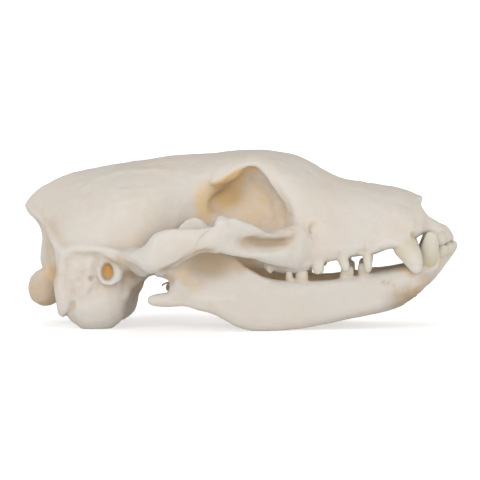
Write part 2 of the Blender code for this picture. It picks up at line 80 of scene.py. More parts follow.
# %% [markdown]
# ## From CAD solid to bone
# A real skull is one smooth skin with faint sutures, where the CAD model has flat facets and
# gaps. Sculpting it by hand would lose the sizes, so each piece starts as a welded copy of its
# CAD nodes. A voxel remesh melts these into one even skin and a smooth pass takes the facets
# off. The CAD nodes themselves are only hidden.

# %% Copy, melt and smooth the CAD bones
def apply_modifiers(obj):
    graph = bpy.context.evaluated_depsgraph_get()
    mesh = bpy.data.meshes.new_from_object(obj.evaluated_get(graph))
    obj.modifiers.clear()
    old, obj.data = obj.data, mesh
    bpy.data.meshes.remove(old)


def piece_from(bm, name):
    mesh = bpy.data.meshes.new(name)
    bm.to_mesh(mesh)
    bm.free()
    obj = bpy.data.objects.new(name, mesh)
    bpy.context.scene.collection.objects.link(obj)
    return obj


def copied_nodes(nodes, fatten=0.0):
    bm = bmesh.new()
    for node in nodes:
        bm.from_mesh(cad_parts[node].data)
    bmesh.ops.remove_doubles(bm, verts=bm.verts, dist=WELD * MM)
    bm.normal_update()
    for vertex in bm.verts:
        vertex.co += vertex.normal * fatten * MM
    return bm


def keep_outer_skin(obj):
    """Drops small closed bits that the remesh left inside the bone."""
    bm = bmesh.new()
    bm.from_mesh(obj.data)
    unseen, best = set(bm.verts), []
    while unseen:
        group, todo = [], [unseen.pop()]
        while todo:
            vertex = todo.pop()
            group.append(vertex)
            near = {edge.other_vert(vertex) for edge in vertex.link_edges} & unseen
            todo.extend(near)
            unseen -= near
        best = max(best, group, key=len)
    best = set(best)
    bmesh.ops.delete(bm, geom=[v for v in bm.verts if v not in best], context="VERTS")
    bm.to_mesh(obj.data)
    bm.free()


def melted(nodes, name, grain, rounds, fatten=0.0):
    obj = piece_from(copied_nodes(nodes, fatten), name)
    remesh = obj.modifiers.new("melt", "REMESH")
    remesh.mode = "VOXEL"
    remesh.voxel_size = grain * MM
    soften = obj.modifiers.new("soften", "SMOOTH")
    soften.factor = 0.5
    soften.iterations = rounds
    apply_modifiers(obj)
    keep_outer_skin(obj)
    print(name, len(obj.data.polygons), "faces")
    return obj


# %% [markdown]
# ## Sculpting in code
# Bone shows muscle scars, ridges, seams and small holes for vessels. Brushes could work them
# in, but a row with a place, a size and a depth keeps its size and can be mirrored. The first
# helpers read a skin's points as an array, say how near each is to a place, and average values.

# %% Read, measure and write a skin
def read_skin(obj):
    count = len(obj.data.vertices)
    points, normals = np.empty(count * 3, np.float32), np.empty(count * 3, np.float32)
    obj.data.vertices.foreach_get("co", points)
    obj.data.vertex_normals.foreach_get("vector", normals)
    return points.reshape(-1, 3).astype(float) / MM, normals.reshape(-1, 3).astype(float)


def write_skin(obj, points):
    obj.data.vertices.foreach_set("co", (points * MM).astype(np.float32).ravel())
    obj.data.update()


def on_side(place, side):
    return np.array((place[0], side * place[1], place[2]))


def spread(points, place, radii):
    """One at a place, fading to nothing at the radii around it."""
    far = np.linalg.norm((points - place) / np.array(radii), axis=1)
    return np.clip(1 - far**2, 0, 1) ** 2


def near_each_side(points, place, radii):
    for side, _name in SIDES:
        yield spread(points, on_side(place, side), radii)


def evened(obj, values, rounds):
    """Averages a value with its neighbours' a few times."""
    mesh = obj.data
    ends = np.empty(len(mesh.edges) * 2, np.int32)
    mesh.edges.foreach_get("vertices", ends)
    a, b = ends.reshape(-1, 2).T
    links = np.bincount(ends, minlength=len(values)) + 1
    for _ in range(rounds):
        total = values + np.bincount(a, values[b], len(values)) + np.bincount(b, values[a], len(values))
        values = total / links
    return values


def smoothed(obj, points, rounds):
    return np.column_stack([evened(obj, points[:, k], rounds) for k in range(3)])


# %% [markdown]
# ## Walls and unevenness
# Where two solids left a step, the skin is evened out. A shift then moves a whole wall, front
# and back, which suits thin plates. Last comes the slight unevenness of real bone, from a noise
# in several sizes. The flats that the skull rests on stay flat.

# %% Even out, shift and roughen
EVEN_GRIP = 2.5  # evens most of a place in full and fades near its border


def even_out(obj, places, rounds):
    """Melts away steps around some places."""
    points, _normals = read_skin(obj)
    weight = np.zeros(len(points))
    for place, radii in places:
        for near in near_each_side(points, place, radii):
            weight = np.maximum(weight, near)
    weight = np.clip(weight * EVEN_GRIP, 0, 1)[:, None]
    write_skin(obj, points + (smoothed(obj, points, rounds) - points) * weight)


def shift_walls(obj, shifts):
    """Moves whole walls by x, outwards y and z around some places."""
    points, _normals = read_skin(obj)
    for place, radii, move in shifts:
        for side, _name in SIDES:
            weight = spread(points, on_side(place, side), radii)
            points += weight[:, None] * on_side(move, side)
    write_skin(obj, points)


def roughen(obj, swells, patches=()):
    """Gives the skin the slight unevenness of real bone."""
    points, normals = read_skin(obj)
    everywhere = np.ones(len(points))
    rows = [(size, height, everywhere) for size, height in swells]
    for place, radii, size, height in patches:
        rows += [(size, height, near) for near in near_each_side(points, place, radii)]
    for size, height, weight in rows:
        push = np.array([noise.noise(Vector(p / size)) if w else 0 for p, w in zip(points, weight)])
        points += normals * (height * push * weight)[:, None]
    points[:, 2] = np.maximum(points[:, 2], 0.0)
    write_skin(obj, points)


# %% [markdown]
# ## Dabs, grooves and seams
# A dab moves the skin in or out around a point, and a groove or a ridge does so along a smooth
# line. Before the cheek seam is cut, the faces near it are divided so that it stays sharp.

# %% Dabs and grooves
LINE_STEP = 0.5
LINE_REACH = 8.0  # no line is felt further away than this
SEAM_STEP = 0.9


def curve_through(path, step=LINE_STEP):
    """Close points on a smooth line through the given ones."""
    rows = np.array(path, float)
    padded = np.vstack([2 * rows[0] - rows[1], rows, 2 * rows[-1] - rows[-2]])
    out = [rows[0]]
    for i in range(len(rows) - 1):
        a, b, c, d = padded[i : i + 4]
        count = max(2, int(np.linalg.norm(c - b) / step))
        for t in np.linspace(0, 1, count + 1)[1:]:
            bend = (2 * a - 5 * b + 4 * c - d) * t**2
            twist = (3 * b - a - 3 * c + d) * t**3
            out.append(0.5 * (2 * b + (c - a) * t + bend + twist))
    return np.array(out)


def line_distance(points, path):
    """How far each point is from a line of short straight bits."""
    reach = np.full(len(points), np.inf)
    low, high = path.min(axis=0) - LINE_REACH, path.max(axis=0) + LINE_REACH
    close = np.flatnonzero(((points > low) & (points < high)).all(axis=1))
    for start, end in zip(path, path[1:]):
        along = end - start
        offset = points[close] - start
        t = np.clip(offset @ along / (along @ along), 0, 1)
        gap = np.linalg.norm(offset - t[:, None] * along, axis=1)
        reach[close] = np.minimum(reach[close], gap)
    return reach


def wandering(path, swing, seed):
    """A line that wavers a little, as the seam between two bones does."""
    rng = np.random.default_rng(seed)
    line = curve_through(path, SEAM_STEP)
    sway = rng.uniform(-swing, swing, line.shape)
    sway[0] = sway[-1] = 0
    return line + sway


def both_sides(path):
    return [curve_through([on_side(p, side) for p in path]) for side, _name in SIDES]


def rows_both_sides(rows):
    return [(line, width, amount) for path, width, amount in rows for line in both_sides(path)]


def divide_near(obj, lines, width):
    """Divides the faces close to some lines."""
    points, _normals = read_skin(obj)
    reach = np.min([line_distance(points, line) for line in lines], axis=0)
    bm = bmesh.new()
    bm.from_mesh(obj.data)
    bm.verts.ensure_lookup_table()
    edges = [e for e in bm.edges if max(reach[v.index] for v in e.verts) < width]
    bmesh.ops.subdivide_edges(bm, edges=edges, cuts=1, use_grid_fill=True)
    bmesh.ops.triangulate(bm, faces=[f for f in bm.faces if len(f.verts) > 4])
    bm.to_mesh(obj.data)
    bm.free()


def sculpt(obj, dabs, grooves):
    """Works every dab into both sides of a bone, and every groove along its own line."""
    points, normals = read_skin(obj)
    for place, radii, push in dabs:
        for weight in near_each_side(points, place, radii):
            points += normals * (push * weight)[:, None]
    for line, width, push in grooves:
        weight = np.exp(-((line_distance(points, line) / width) ** 2))
        points += normals * (push * weight)[:, None]
    write_skin(obj, points)


# %% [markdown]
# ## Shader parts that bone and teeth share
# Bone and enamel both vary in tone and have a fine surface. Each effect is a node group, built
# once, and each material places it with its own values. The groups give out only colours and
# heights, and the shader itself stays in the material.

# %% Node helpers
MIX_A, MIX_B, MIX_COLOR = 6, 7, 2  # the colour sockets of a Mix node: its inputs and its output


def add_node(tree, kind, inputs=None, **settings):
    made = tree.nodes.new(kind)
    for name, value in settings.items():
        setattr(made, name, value)
    for name, value in (inputs or {}).items():
        if isinstance(value, bpy.types.NodeSocket):
            tree.links.new(value, made.inputs[name])
        else:
            made.inputs[name].default_value = value
    return made


def add_noise(tree, scale, detail, roughness=0.5):
    """A soft noise that keeps its place on the object."""
    place = add_node(tree, "ShaderNodeTexCoord").outputs["Object"]
    inputs = {"Vector": place, "Scale": scale, "Detail": detail, "Roughness": roughness}
    return add_node(tree, "ShaderNodeTexNoise", inputs).outputs["Fac"]


def ranged(tree, value, low, high, to_low=0.0, to_high=1.0):
    """Stretches the values between low and high over another range."""
    inputs = {"Value": value, "From Min": low, "From Max": high, "To Min": to_low, "To Max": to_high}
    return add_node(tree, "ShaderNodeMapRange", inputs).outputs["Result"]


def worked_out(tree, operation, first, second, **settings):
    return add_node(tree, "ShaderNodeMath", {0: first, 1: second}, operation=operation, **settings).outputs[0]


def mixed(tree, share, first, second):
    """All of the first colour at a share of zero, and all of the second at one."""
    mix = add_node(tree, "ShaderNodeMix", {"Factor": share, MIX_A: first, MIX_B: second}, data_type="RGBA")
    return mix.outputs[MIX_COLOR]


def new_group(name, takes, gives, gives_kind="NodeSocketColor"):
    """A group with only its inputs and one output, and the sockets to link to these."""
    group = bpy.data.node_groups.new(name, "ShaderNodeTree")
    for label, value in takes.items():
        kind = "NodeSocketFloat" if isinstance(value, float) else "NodeSocketColor"
        group.interface.new_socket(label, in_out="INPUT", socket_type=kind).default_value = value
    group.interface.new_socket(gives, in_out="OUTPUT", socket_type=gives_kind)
    given = group.nodes.new("NodeGroupInput").outputs
    return group, given, group.nodes.new("NodeGroupOutput").inputs[gives]


# %% [markdown]
# ## Three shared groups
# The first group mixes two tones by a soft noise, since no bone is one even colour. The second
# lays a stain, a painted shade or a painted highlight over a colour where a mask says so. The third
# gives a fine height of swells and pores, which a Bump node turns into light and shade without a
# new face.

# %% Shared node groups
WHITE = (1, 1, 1, 1)
MOTTLE_RANGE = (0.35, 0.7)  # part of the noise that the tones share out


def tone_group():
    takes = {"Light": WHITE, "Warm": WHITE, "Patches per metre": 60.0, "Amount": 0.5}
    group, given, result = new_group("tone", takes, "Color")
    mottle = add_noise(group, given["Patches per metre"], detail=4.0, roughness=0.6)
    level = ranged(group, mottle, *MOTTLE_RANGE, to_high=given["Amount"])
    group.links.new(mixed(group, level, given["Light"], given["Warm"]), result)
    return group


def stain_and_shade_group():
    takes = {"Under": WHITE, "Over": WHITE, "Mask": 0.0, "Strength": 1.0}
    group, given, result = new_group("lay over", takes, "Color")
    share = worked_out(group, "MULTIPLY", given["Mask"], given["Strength"], use_clamp=True)
    group.links.new(mixed(group, share, given["Under"], given["Over"]), result)
    return group


def grain_group():
    takes = {"Swells per metre": 300.0, "Pores per metre": 1500.0, "Pore depth": 0.3}
    group, given, result = new_group("grain", takes, "Height", "NodeSocketFloat")
    swells = add_noise(group, given["Swells per metre"], detail=3.0)
    pores = add_noise(group, given["Pores per metre"], detail=2.0)
    depth = worked_out(group, "MULTIPLY", pores, given["Pore depth"])
    group.links.new(worked_out(group, "ADD", swells, depth), result)
    return group


GROUPS = {"tone": tone_group(), "lay over": stain_and_shade_group(), "grain": grain_group()}
print("groups", sorted(GROUPS))

# %% [markdown]
# ## Dry bone
# Museum bone is matt ivory with rosy, grey and warmer patches, stains and thin dark seams; on top
# of that its hollows and creases get painted shade and its ridges a painted highlight. It is one
# Principled shader. Its colour is mottled first, and each stain, painted shade and highlight is then
# laid over it through an attribute that the skin carries, which needs no image and no unwrapping.

# %% Bone material
IVORY = (0.635, 0.585, 0.51, 1)
WARM_IVORY = (0.64, 0.555, 0.44, 1)
ROSY_IVORY = (0.635, 0.54, 0.475, 1)
GREY_IVORY = (0.60, 0.575, 0.53, 1)
# painted highlight, laid lighter along ridges
RIDGE_HIGHLIGHT = (0.70, 0.675, 0.62, 1)
# painted shade: a warm brown laid in hollows by how shut in they are, also standing for their stain
RECESS_SHADE_BROWN = (0.47, 0.305, 0.17, 1)
# tan of stains, also used as painted shade in creases, grooves, the bay by the ear and under the cheek arch
TAN_STAIN_AND_SHADE = (0.53, 0.40, 0.27, 1)
# amber of stains, also used as painted shade under the brow, in the eye socket and on the jaws' inner sides
AMBER_STAIN_AND_SHADE = (0.72, 0.48, 0.20, 1)
# dark brown of seams and pits, also used as painted shade in grooves and the deepest spots
SEAM_AND_SHADE_BROWN = (0.34, 0.25, 0.15, 1)
BONE_TONES = (
    # second tone, patches per metre, how much of it
    (WARM_IVORY, 60.0, 0.95),
    (ROSY_IVORY, 110.0, 0.9),
    (GREY_IVORY, 42.0, 0.8),
)


def new_material(name):
    material = bpy.data.materials.new(name)
    material.use_nodes = True
    tree = material.node_tree
    return material, tree, tree.nodes["Principled BSDF"]


def attribute(tree, name):
    return add_node(tree, "ShaderNodeAttribute", attribute_name=name).outputs["Fac"]


def place_group(tree, name, *values):
    """Places a group in a material and gives its inputs their values, in the group's order."""
    return add_node(tree, "ShaderNodeGroup", dict(enumerate(values)), node_tree=GROUPS[name]).outputs[0]


def set_shader(tree, shader, color, roughness, shine):
    tree.links.new(color, shader.inputs["Base Color"])
    shader.inputs["Roughness"].default_value = roughness
    shader.inputs["Specular IOR Level"].default_value = shine


def add_bumps(tree, shader, swells, pores, pore_depth, strength, height):
    """A fine uneven surface; the height is in metres and the first two are per metre."""
    grain = place_group(tree, "grain", swells, pores, pore_depth)
    bump = add_node(tree, "ShaderNodeBump", {"Height": grain, "Strength": strength, "Distance": height})
    tree.links.new(bump.outputs["Normal"], shader.inputs["Normal"])


def bone_material():
    material, tree, shader = new_material("dry_bone")
    color = IVORY
    for warm, patches, amount in BONE_TONES:
        color = place_group(tree, "tone", color, warm, patches, amount)
    edge = attribute(tree, "edge")
    for over, mask, strength in (
        # painted highlight along ridges, then painted tan shade in creases
        (RIDGE_HIGHLIGHT, ranged(tree, edge, 0.55, 0.95), 0.3),
        (TAN_STAIN_AND_SHADE, ranged(tree, edge, 0.45, 0.05), 0.3),
        # painted shade in the hollows, partly standing for their stain
        (RECESS_SHADE_BROWN, ranged(tree, attribute(tree, "recess"), 0.36, 0.85), 0.65),
        # tan, partly stain and partly painted shade
        (TAN_STAIN_AND_SHADE, attribute(tree, "tan"), 0.95),
        # amber, partly stain and partly painted shade
        (AMBER_STAIN_AND_SHADE, attribute(tree, "amber"), 0.95),
        # dark seams and pits, plus painted shade in grooves and the deepest spots
        (SEAM_AND_SHADE_BROWN, attribute(tree, "seam"), 0.8),
    ):
        color = place_group(tree, "lay over", color, over, mask, strength)
    set_shader(tree, shader, color, roughness=0.6, shine=0.35)
    add_bumps(tree, shader, swells=260.0, pores=1600.0, pore_depth=0.25, strength=0.45, height=0.0006)
    return material


BONE = bone_material()
print(BONE.name, len(BONE.node_tree.nodes), "nodes")

# %% [markdown]
# ## Enamel and wire
# Enamel is smoother and paler than bone, and turns yellow towards the root. The steel wire is
# dull and a little rusty. Both use the same groups, with values of their own.

# %% Enamel and wire materials
ENAMEL = (0.62, 0.585, 0.505, 1)
WARM_ENAMEL = (0.59, 0.53, 0.41, 1)
ROOT_YELLOW = (0.53, 0.43, 0.26, 1)
WIRE_GREY = (0.33, 0.32, 0.31, 1)
WIRE_RUST = (0.2, 0.16, 0.12, 1)
ENAMEL_TONE = (WARM_ENAMEL, 300.0, 0.6)
WIRE_TONE = (WIRE_RUST, 900.0, 0.7)
ROOT_STRENGTH = 0.75


def tooth_material():
    material, tree, shader = new_material("enamel")
    color = place_group(tree, "tone", ENAMEL, *ENAMEL_TONE)
    color = place_group(tree, "lay over", color, ROOT_YELLOW, attribute(tree, "root"), ROOT_STRENGTH)
    set_shader(tree, shader, color, roughness=0.44, shine=0.45)
    add_bumps(tree, shader, swells=500.0, pores=2600.0, pore_depth=0.2, strength=0.2, height=0.0003)
    return material


def wire_material():
    material, tree, shader = new_material("dull_wire")
    color = place_group(tree, "tone", WIRE_GREY, *WIRE_TONE)
    set_shader(tree, shader, color, roughness=0.42, shine=0.5)
    shader.inputs["Metallic"].default_value = 1.0
    return material


ENAMEL_FINISH = tooth_material()
WIRE = wire_material()
print("also", ENAMEL_FINISH.name, WIRE.name)


def finish_piece(obj, material, slot, *nodes):
    """Gives a piece its material, and tells the frame what it hides and moves with."""
    obj.data.materials.clear()
    obj.data.materials.append(material)
    obj.data.shade_smooth()
    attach(obj, "root")
    if nodes:
        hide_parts(*nodes)
    print(obj.name, sum(len(p.vertices) - 2 for p in obj.data.polygons), "triangles")


# %% [markdown]
# ## The skull bone
# Braincase, snout, nape, cheek arches and ear capsules grow together in a grown animal, so they
# are one skin here. The rows below name its swellings, pits and walls, each with its place, its
# radii and how far it moves.

# %% Forms of the skull
SKULL_GRAIN = 0.62  # size of the remesh's cells
SKULL_SMOOTHING = 9
STEP_ROUNDS = 40  # how often a step is averaged away
SEAM_ROUNDS = 8
SKULL_STEPS = [
    ((-50.3, 25, 16.5), (7.5, 8, 10)),  # between ear capsule, process and ear tube
    ((10, 30, 29.5), (12, 6, 5)),  # under the rim of the eye socket
    ((24.5, 20, 32.8), (4.5, 4.5, 4.5)),  # vessel hole in front of the eye
    ((52.5, 14, 37), (7, 4.5, 4.5)),  # over the root of the big tooth
]
SEAM_STEPS = [((-9.5, 41, 30), (5, 4, 6)), ((-16.5, 41, 24), (6, 4, 5))]
SKULL_SHIFTS = [
    ((-49.5, 25, 17.5), (6.5, 8, 8), (0, 1.3, 0)),  # the wall runs flush into the ear tube
    ((-45.8, 25, 19.5), (2.4, 8, 5.5), (0, 1, 0)),
    ((-44.6, 27, 19.5), (3, 4, 6), (0, -1.5, 0)),
    ((-1.5, 36, 26), (15, 10, 6), (0, 0, -2.5)),  # deep root of the cheek arch
    ((-32, 37.5, 18.5), (6.5, 9, 9), (0, 0, 2.8)),  # high edge between ear and jaw joint
    ((58.2, 14, 29.8), (2.4, 4, 2.6), (-0.8, 0, 0)),  # window in front of the big tooth
    ((-32, 14, 7), (7, 14, 8), (-1.7, 0, 0)),  # narrower front foot of the capsule
    ((-66, 8, 30), (8, 15, 9), (1.6, 0, 0)),  # hollow back wall under the nape
    ((28, 18, 23), (9, 14, 6), (0, 0, 1.5)),  # gum edge over the cheek teeth
    ((39, 18, 24), (10, 14, 6), (0, 0, 1.5)),
    ((49, 16, 25.5), (7, 14, 5.5), (0, 0, 1.7)),
]
SKULL_SWELLS = ((9, 0.3), (3.4, 0.15), (1.6, 0.06))
SKULL_ROUGH = [
    # place, radii, size of the bumps, height
    ((-49.5, 25.5, 16), (8, 6, 10), 2.3, 0.6),  # round the ear opening
    ((-34, 24, 17), (6, 12, 8), 2.2, 0.6),
    ((-62, 12, 17), (7, 9, 7), 2.6, 0.4),  # knob that meets the neck
    ((20, 19, 21), (16, 6, 3.2), 1.5, 0.9),  # edge of the gum
    ((40, 17, 25), (14, 6, 3), 1.5, 0.5),
    ((12, 12, 38), (10, 8, 9), 2.8, 0.5),  # front wall of the eye socket
]
SKULL_DABS = [
    ((-58.3, 22, 19), (3, 4, 3.5), -1),  # hollow above the neck knob
    ((-55, 22, 4), (1.1, 4, 1.8), -1.4),  # notch between the two points beside it
    ((-46.2, 25.8, 16.9), (1.2, 3, 1.1), -0.9),  # small pit under the ear opening
    ((-46.6, 25.5, 13), (1.1, 3, 0.9), -0.5),  # rough patch
    ((-37.9, 25, 14.2), (1.6, 3, 1.8), -1.2),  # pit under the front lip of the ear opening
    ((-37, 27, 20), (1.5, 3, 5), 0.7),  # thick front lip of the ear opening
    ((-33.5, 27, 19), (3, 9, 4.5), -1.4),  # shaded bay in front of the ear opening
    ((-35, 19, 11.5), (3, 4, 3.5), 0.6),  # swelling below the bay
    ((-32.5, 13, 5.5), (4.5, 9, 5.5), -1.3),  # narrower front foot of the capsule
    ((28, 19.5, 33), (4, 4, 4.5), 0.15),  # swelling in front of the vessel hole
    ((28.7, 18.5, 35.7), (0.8, 1.5, 0.8), -0.25),  # vessel holes of the face
    ((35.7, 15.6, 38.2), (0.8, 1.5, 0.7), -0.2),
    ((41.2, 15.8, 35.7), (0.8, 1.5, 0.8), -0.25),
    ((57.4, 15, 31.1), (1, 2, 1.4), -0.5),  # pit in front of the big tooth
    ((49, 17.2, 31), (5.5, 5, 6), 0.35),  # swelling over the root of the big tooth
    ((25.8, 20.6, 25.5), (1.8, 3, 3), 0.35),  # swellings over the roots of the pegs
    ((33.6, 19.2, 26.5), (1.8, 3, 3), 0.3),
    ((42.3, 18, 27.5), (1.6, 3, 3), 0.3),
    ((-5.9, 38.9, 34.9), (0.9, 1.8, 0.9), -0.9),  # dark dot at the top of the cheek seam
    ((-2.4, 38.2, 35.8), (2.4, 2.5, 1.6), 0.5),  # point of the cheekbone
    ((59.9, 2.5, 42.4), (1.8, 3, 1.6), 0.7),  # tip of the nose bone
]
print("forms", len(SKULL_SHIFTS), "walls and", len(SKULL_DABS), "dabs")

# %% [markdown]
# ## Lines of the skull
# Crests, rims, grooves and seams run over the bone as lines. Each is a list of a few points
# taken from the right side in the photo, and a smooth curve is laid through them.

# %% Lines of the skull
NAPE_CREST = [
    (-69.7, 4.5, 39.2), (-66.9, 9.2, 37.1), (-63.7, 14.6, 34), (-60.8, 20, 30.7), (-58, 23.6, 27.9),
    (-55.3, 26.4, 25.2), (-55.4, 25.9, 22.2), (-56, 25.7, 19),
]
NAPE_HOLLOW = [(-66.5, 11, 33), (-63.8, 15.5, 30), (-61.6, 19, 27), (-59.6, 21.5, 24), (-59.4, 21, 20.5)]
EYE_RIM = [
    (-7.6, 17.4, 48), (-4.8, 18.2, 48.7), (-2.2, 17.5, 50.6), (0.4, 16.8, 52.2), (2.9, 16.5, 53.5),
    (4.9, 16.3, 54.1), (7.2, 16.4, 53.5), (9.1, 16.8, 51.9), (10.8, 16.8, 49.6), (12.7, 16.5, 46.7),
    (14.6, 16.2, 44), (16.5, 16.8, 41.8), (17.5, 16.9, 39.2),
]
EYE_ROOF = [(4.8, 15.6, 51.4), (1.3, 12, 49.1), (-0.9, 10.5, 46.4), (-3.5, 10, 43.2), (-6.5, 11.5, 41)]
CHEEK_RIM = [
    (0.5, 36.7, 36.1), (3.6, 35.5, 34.8), (6.9, 33.6, 33.5), (10, 31.6, 32.1), (13.1, 29.5, 31.4),
    (16.2, 27.8, 31), (18.3, 25.9, 31.9),
]
UNDER_RIM = [
    (3.6, 33.4, 30.3), (6, 32.8, 29.9), (8.4, 31.2, 29.4), (11, 29.8, 29.2), (13.4, 28.4, 29.3),
    (15.8, 27.2, 29.7), (18, 25.6, 30.2),
]
CHEEK_CHANNEL = [(5, 33.4, 29), (8.5, 31.4, 28.3), (12.5, 29, 27.9), (15.5, 27.4, 28.3), (18, 25.4, 29)]
VESSEL_HOLE = [(26, 19.9, 35.2), (24.6, 20.3, 33.6), (24.2, 20.7, 31.4)]
RIM_SHADE = [
    (-7.4, 16, 46.2), (-5.5, 16, 46.6), (-3.7, 15.8, 47.8), (-1.6, 15, 49.2), (0.5, 14.2, 50.5),
    (2.5, 13.3, 51.6), (4.6, 13.3, 52.2),
]
MUSCLE_LINE = [
    (-50.2, 13.8, 45.5), (-46.2, 11.8, 48.2), (-42, 10.8, 49.8), (-35.4, 10.5, 51), (-27.7, 11.3, 51.5),
    (-18.7, 12.1, 50.9), (-11.9, 14.6, 49.6), (-8, 16.8, 48.4),
]
CHEEK_SEAM = [
    (-5.6, 39.1, 34.3), (-8.3, 41.1, 32.2), (-10.1, 41.8, 30.3), (-11.4, 41.5, 27.8), (-13.9, 41.6, 25.9),
    (-15.9, 41.3, 24.3), (-18.4, 41.1, 22.7), (-22.3, 40.7, 20.9),
]
UNDER_SEAM = [(-6, 38.6, 27.4), (-10, 40.2, 26.4), (-13.6, 40.8, 24.4), (-17, 40.6, 22.2), (-21, 40, 20.4)]
EAR_GROOVE = [
    (-51.3, 26.8, 24.2), (-48, 27.1, 24.3), (-44.7, 27.9, 25), (-41.1, 30.2, 25.3), (-37.6, 32, 24.9),
]
EAR_RIDGE = [
    (-51.2, 27.5, 26.6), (-47.9, 27.9, 26.2), (-44.5, 28.8, 26.6), (-41.2, 29.7, 26.9), (-37.8, 31, 26.5),
    (-34.2, 34.1, 25.1),
]
EAR_SLIT = [(-51.5, 25.6, 20.2), (-49.6, 25.6, 19.6), (-47.3, 25.6, 19.3)]
CAPSULE_CREASE = [(-54.4, 22.4, 5), (-53.4, 22.9, 7), (-52.4, 23.8, 8.8)]
JOINT_EDGE = [(-34.2, 34.1, 25.1), (-32.2, 37.1, 23.2), (-29.5, 38.8, 21.2)]
SKULL_LINES = (
    # line, width, height
    (NAPE_HOLLOW, 2.4, -1.3),
    (NAPE_CREST, 1.0, 0.8),
    (EYE_ROOF, 3.0, -1.4),
    (EYE_RIM, 0.8, 0.6),
    (CHEEK_RIM, 1.0, 0.8),
    (UNDER_RIM, 1.3, -1.9),
    (CHEEK_CHANNEL, 2.2, -0.7),
    (VESSEL_HOLE, 0.6, -0.8),
    (MUSCLE_LINE, 1.5, 0.22),
    (UNDER_SEAM, 0.9, -0.5),
    (EAR_GROOVE, 1.5, -0.35),
    (EAR_RIDGE, 1.0, 0.4),
    (EAR_SLIT, 0.6, -0.5),
    (CAPSULE_CREASE, 0.7, -0.6),
    (JOINT_EDGE, 0.8, 0.2),
)
print("lines", len(SKULL_LINES))

# %% [markdown]
# ## Work the forms into the bone
# The melted copy is evened out and its walls are moved before any fine line is cut, so that
# nothing wipes the lines out again. The cheek seam wavers, as the joint of two bones does.

# %% Draw the skull bone
SEAM_DIVIDE = 0.9  # how near the seam faces are divided
SEAM_SWAY = 0.1
SEAM_SEED = 7
SEAM_WIDTH = 0.3
SEAM_CUT = -0.06

skull = melted(SKULL_BONES, "skull_bone", SKULL_GRAIN, SKULL_SMOOTHING, HALF_GAP)
even_out(skull, SKULL_STEPS, STEP_ROUNDS)
even_out(skull, SEAM_STEPS, SEAM_ROUNDS)
shift_walls(skull, SKULL_SHIFTS)
cheek_seams = [
    wandering([on_side(p, side) for p in CHEEK_SEAM], SEAM_SWAY, SEAM_SEED + side) for side, _name in SIDES
]
divide_near(skull, cheek_seams, SEAM_DIVIDE)
seam_cuts = [(line, SEAM_WIDTH, SEAM_CUT) for line in cheek_seams]
sculpt(skull, SKULL_DABS, rows_both_sides(SKULL_LINES) + seam_cuts)
roughen(skull, SKULL_SWELLS, SKULL_ROUGH)

# %% [markdown]
# ## The lower jaw
# Each half of the lower jaw is a thin plate with a tall wing that the chewing muscles pull on.
# The outer hollow of the wing, the vessel holes near the chin and the rough join of the two
# halves are pressed into the melted copy.

# %% Draw the two halves of the lower jaw
JAW_GRAIN = 0.55
JAW_SMOOTHING = 6
JAW_ROUNDS = 20
JAW_STEPS = [((-7, 28, 20), (12, 8, 9))]  # outer hollow of the jaw's wing
JAW_SHIFTS = [
    ((-6, 28, 21), (12, 8, 8), (0, -1.3, 0)),  # hollow of the chewing muscle
    ((-20.6, 30, 17), (2.6, 5, 2.6), (0, -0.6, 0)),  # neck of the jaw joint
    ((61.5, 12, 31), (5, 5, 8), (0.9, 0, 0)),  # core of the big tooth
]
JAW_SWELLS = ((7, 0.18), (2.8, 0.1), (1.4, 0.045))
JAW_ROUGH = [
    ((57, 9, 11), (13, 9, 5), 1.7, 0.7),  # rough join of the chin
    ((-14, 29, 19), (8, 5, 7), 2.4, 0.35),  # muscle scars
]
JAW_DABS = [
    ((47.8, 14.3, 15.4), (0.8, 1.5, 0.5), -0.35),  # vessel holes by the chin
    ((49.4, 14, 15.1), (0.9, 1.5, 0.5), -0.35),
    ((51.4, 13.8, 14.3), (0.9, 1.5, 0.5), -0.4),
]
CHIN_STEPS = (0, 2.3, 4.1, 6.8, 8.4)  # how far forward each bump of the rough chin lies
CHIN_IN, CHIN_UP = 0.12, 0.55  # how the row of bumps closes in and climbs, per mm
for k, step in enumerate(CHIN_STEPS):
    bump = (51.5 + step, 13.2 - step * CHIN_IN, 10.4 + step * CHIN_UP + k % 2)
    JAW_DABS.append((bump, (0.9, 1.6, 0.8), 0.25))
JAW_RIDGE = [
    (-20.8, 30.6, 19.2), (-18.3, 30, 16.5), (-15.4, 30.2, 13.7), (-12.2, 30.3, 11.8), (-7.4, 29.7, 10.8),
    (0, 27.6, 11),
]
WING_EDGE = [(-19, 29, 34), (-15.5, 29, 36.2), (-12, 29, 36.6), (-8.5, 28.6, 35), (-5, 28, 31)]
FRONT_EDGE = [(-1, 27, 26.5), (1.5, 26.2, 22.6), (4.2, 25.4, 19.8), (7.2, 24.6, 17.6), (10.6, 23.8, 16.2)]
GUM_BAND = [
    (60.3, 12.2, 20.2), (61, 12, 19.3), (62.2, 11.4, 18.9), (63.4, 10.9, 18.8), (65, 10, 20),
    (66, 9.3, 21.8),
]
JAW_LINES = ((JAW_RIDGE, 1.3, 0.35), (WING_EDGE, 0.8, 0.25), (FRONT_EDGE, 0.9, 0.4), (GUM_BAND, 0.8, 0.6))
jaws = []
for _side, name in SIDES:
    jaw = melted([f"mandible_{name}"], f"lower_jaw_{name}", JAW_GRAIN, JAW_SMOOTHING)
    even_out(jaw, JAW_STEPS, JAW_ROUNDS)
    shift_walls(jaw, JAW_SHIFTS)
    sculpt(jaw, JAW_DABS, rows_both_sides(JAW_LINES))
    roughen(jaw, JAW_SWELLS, JAW_ROUGH)
    jaws.append(jaw)

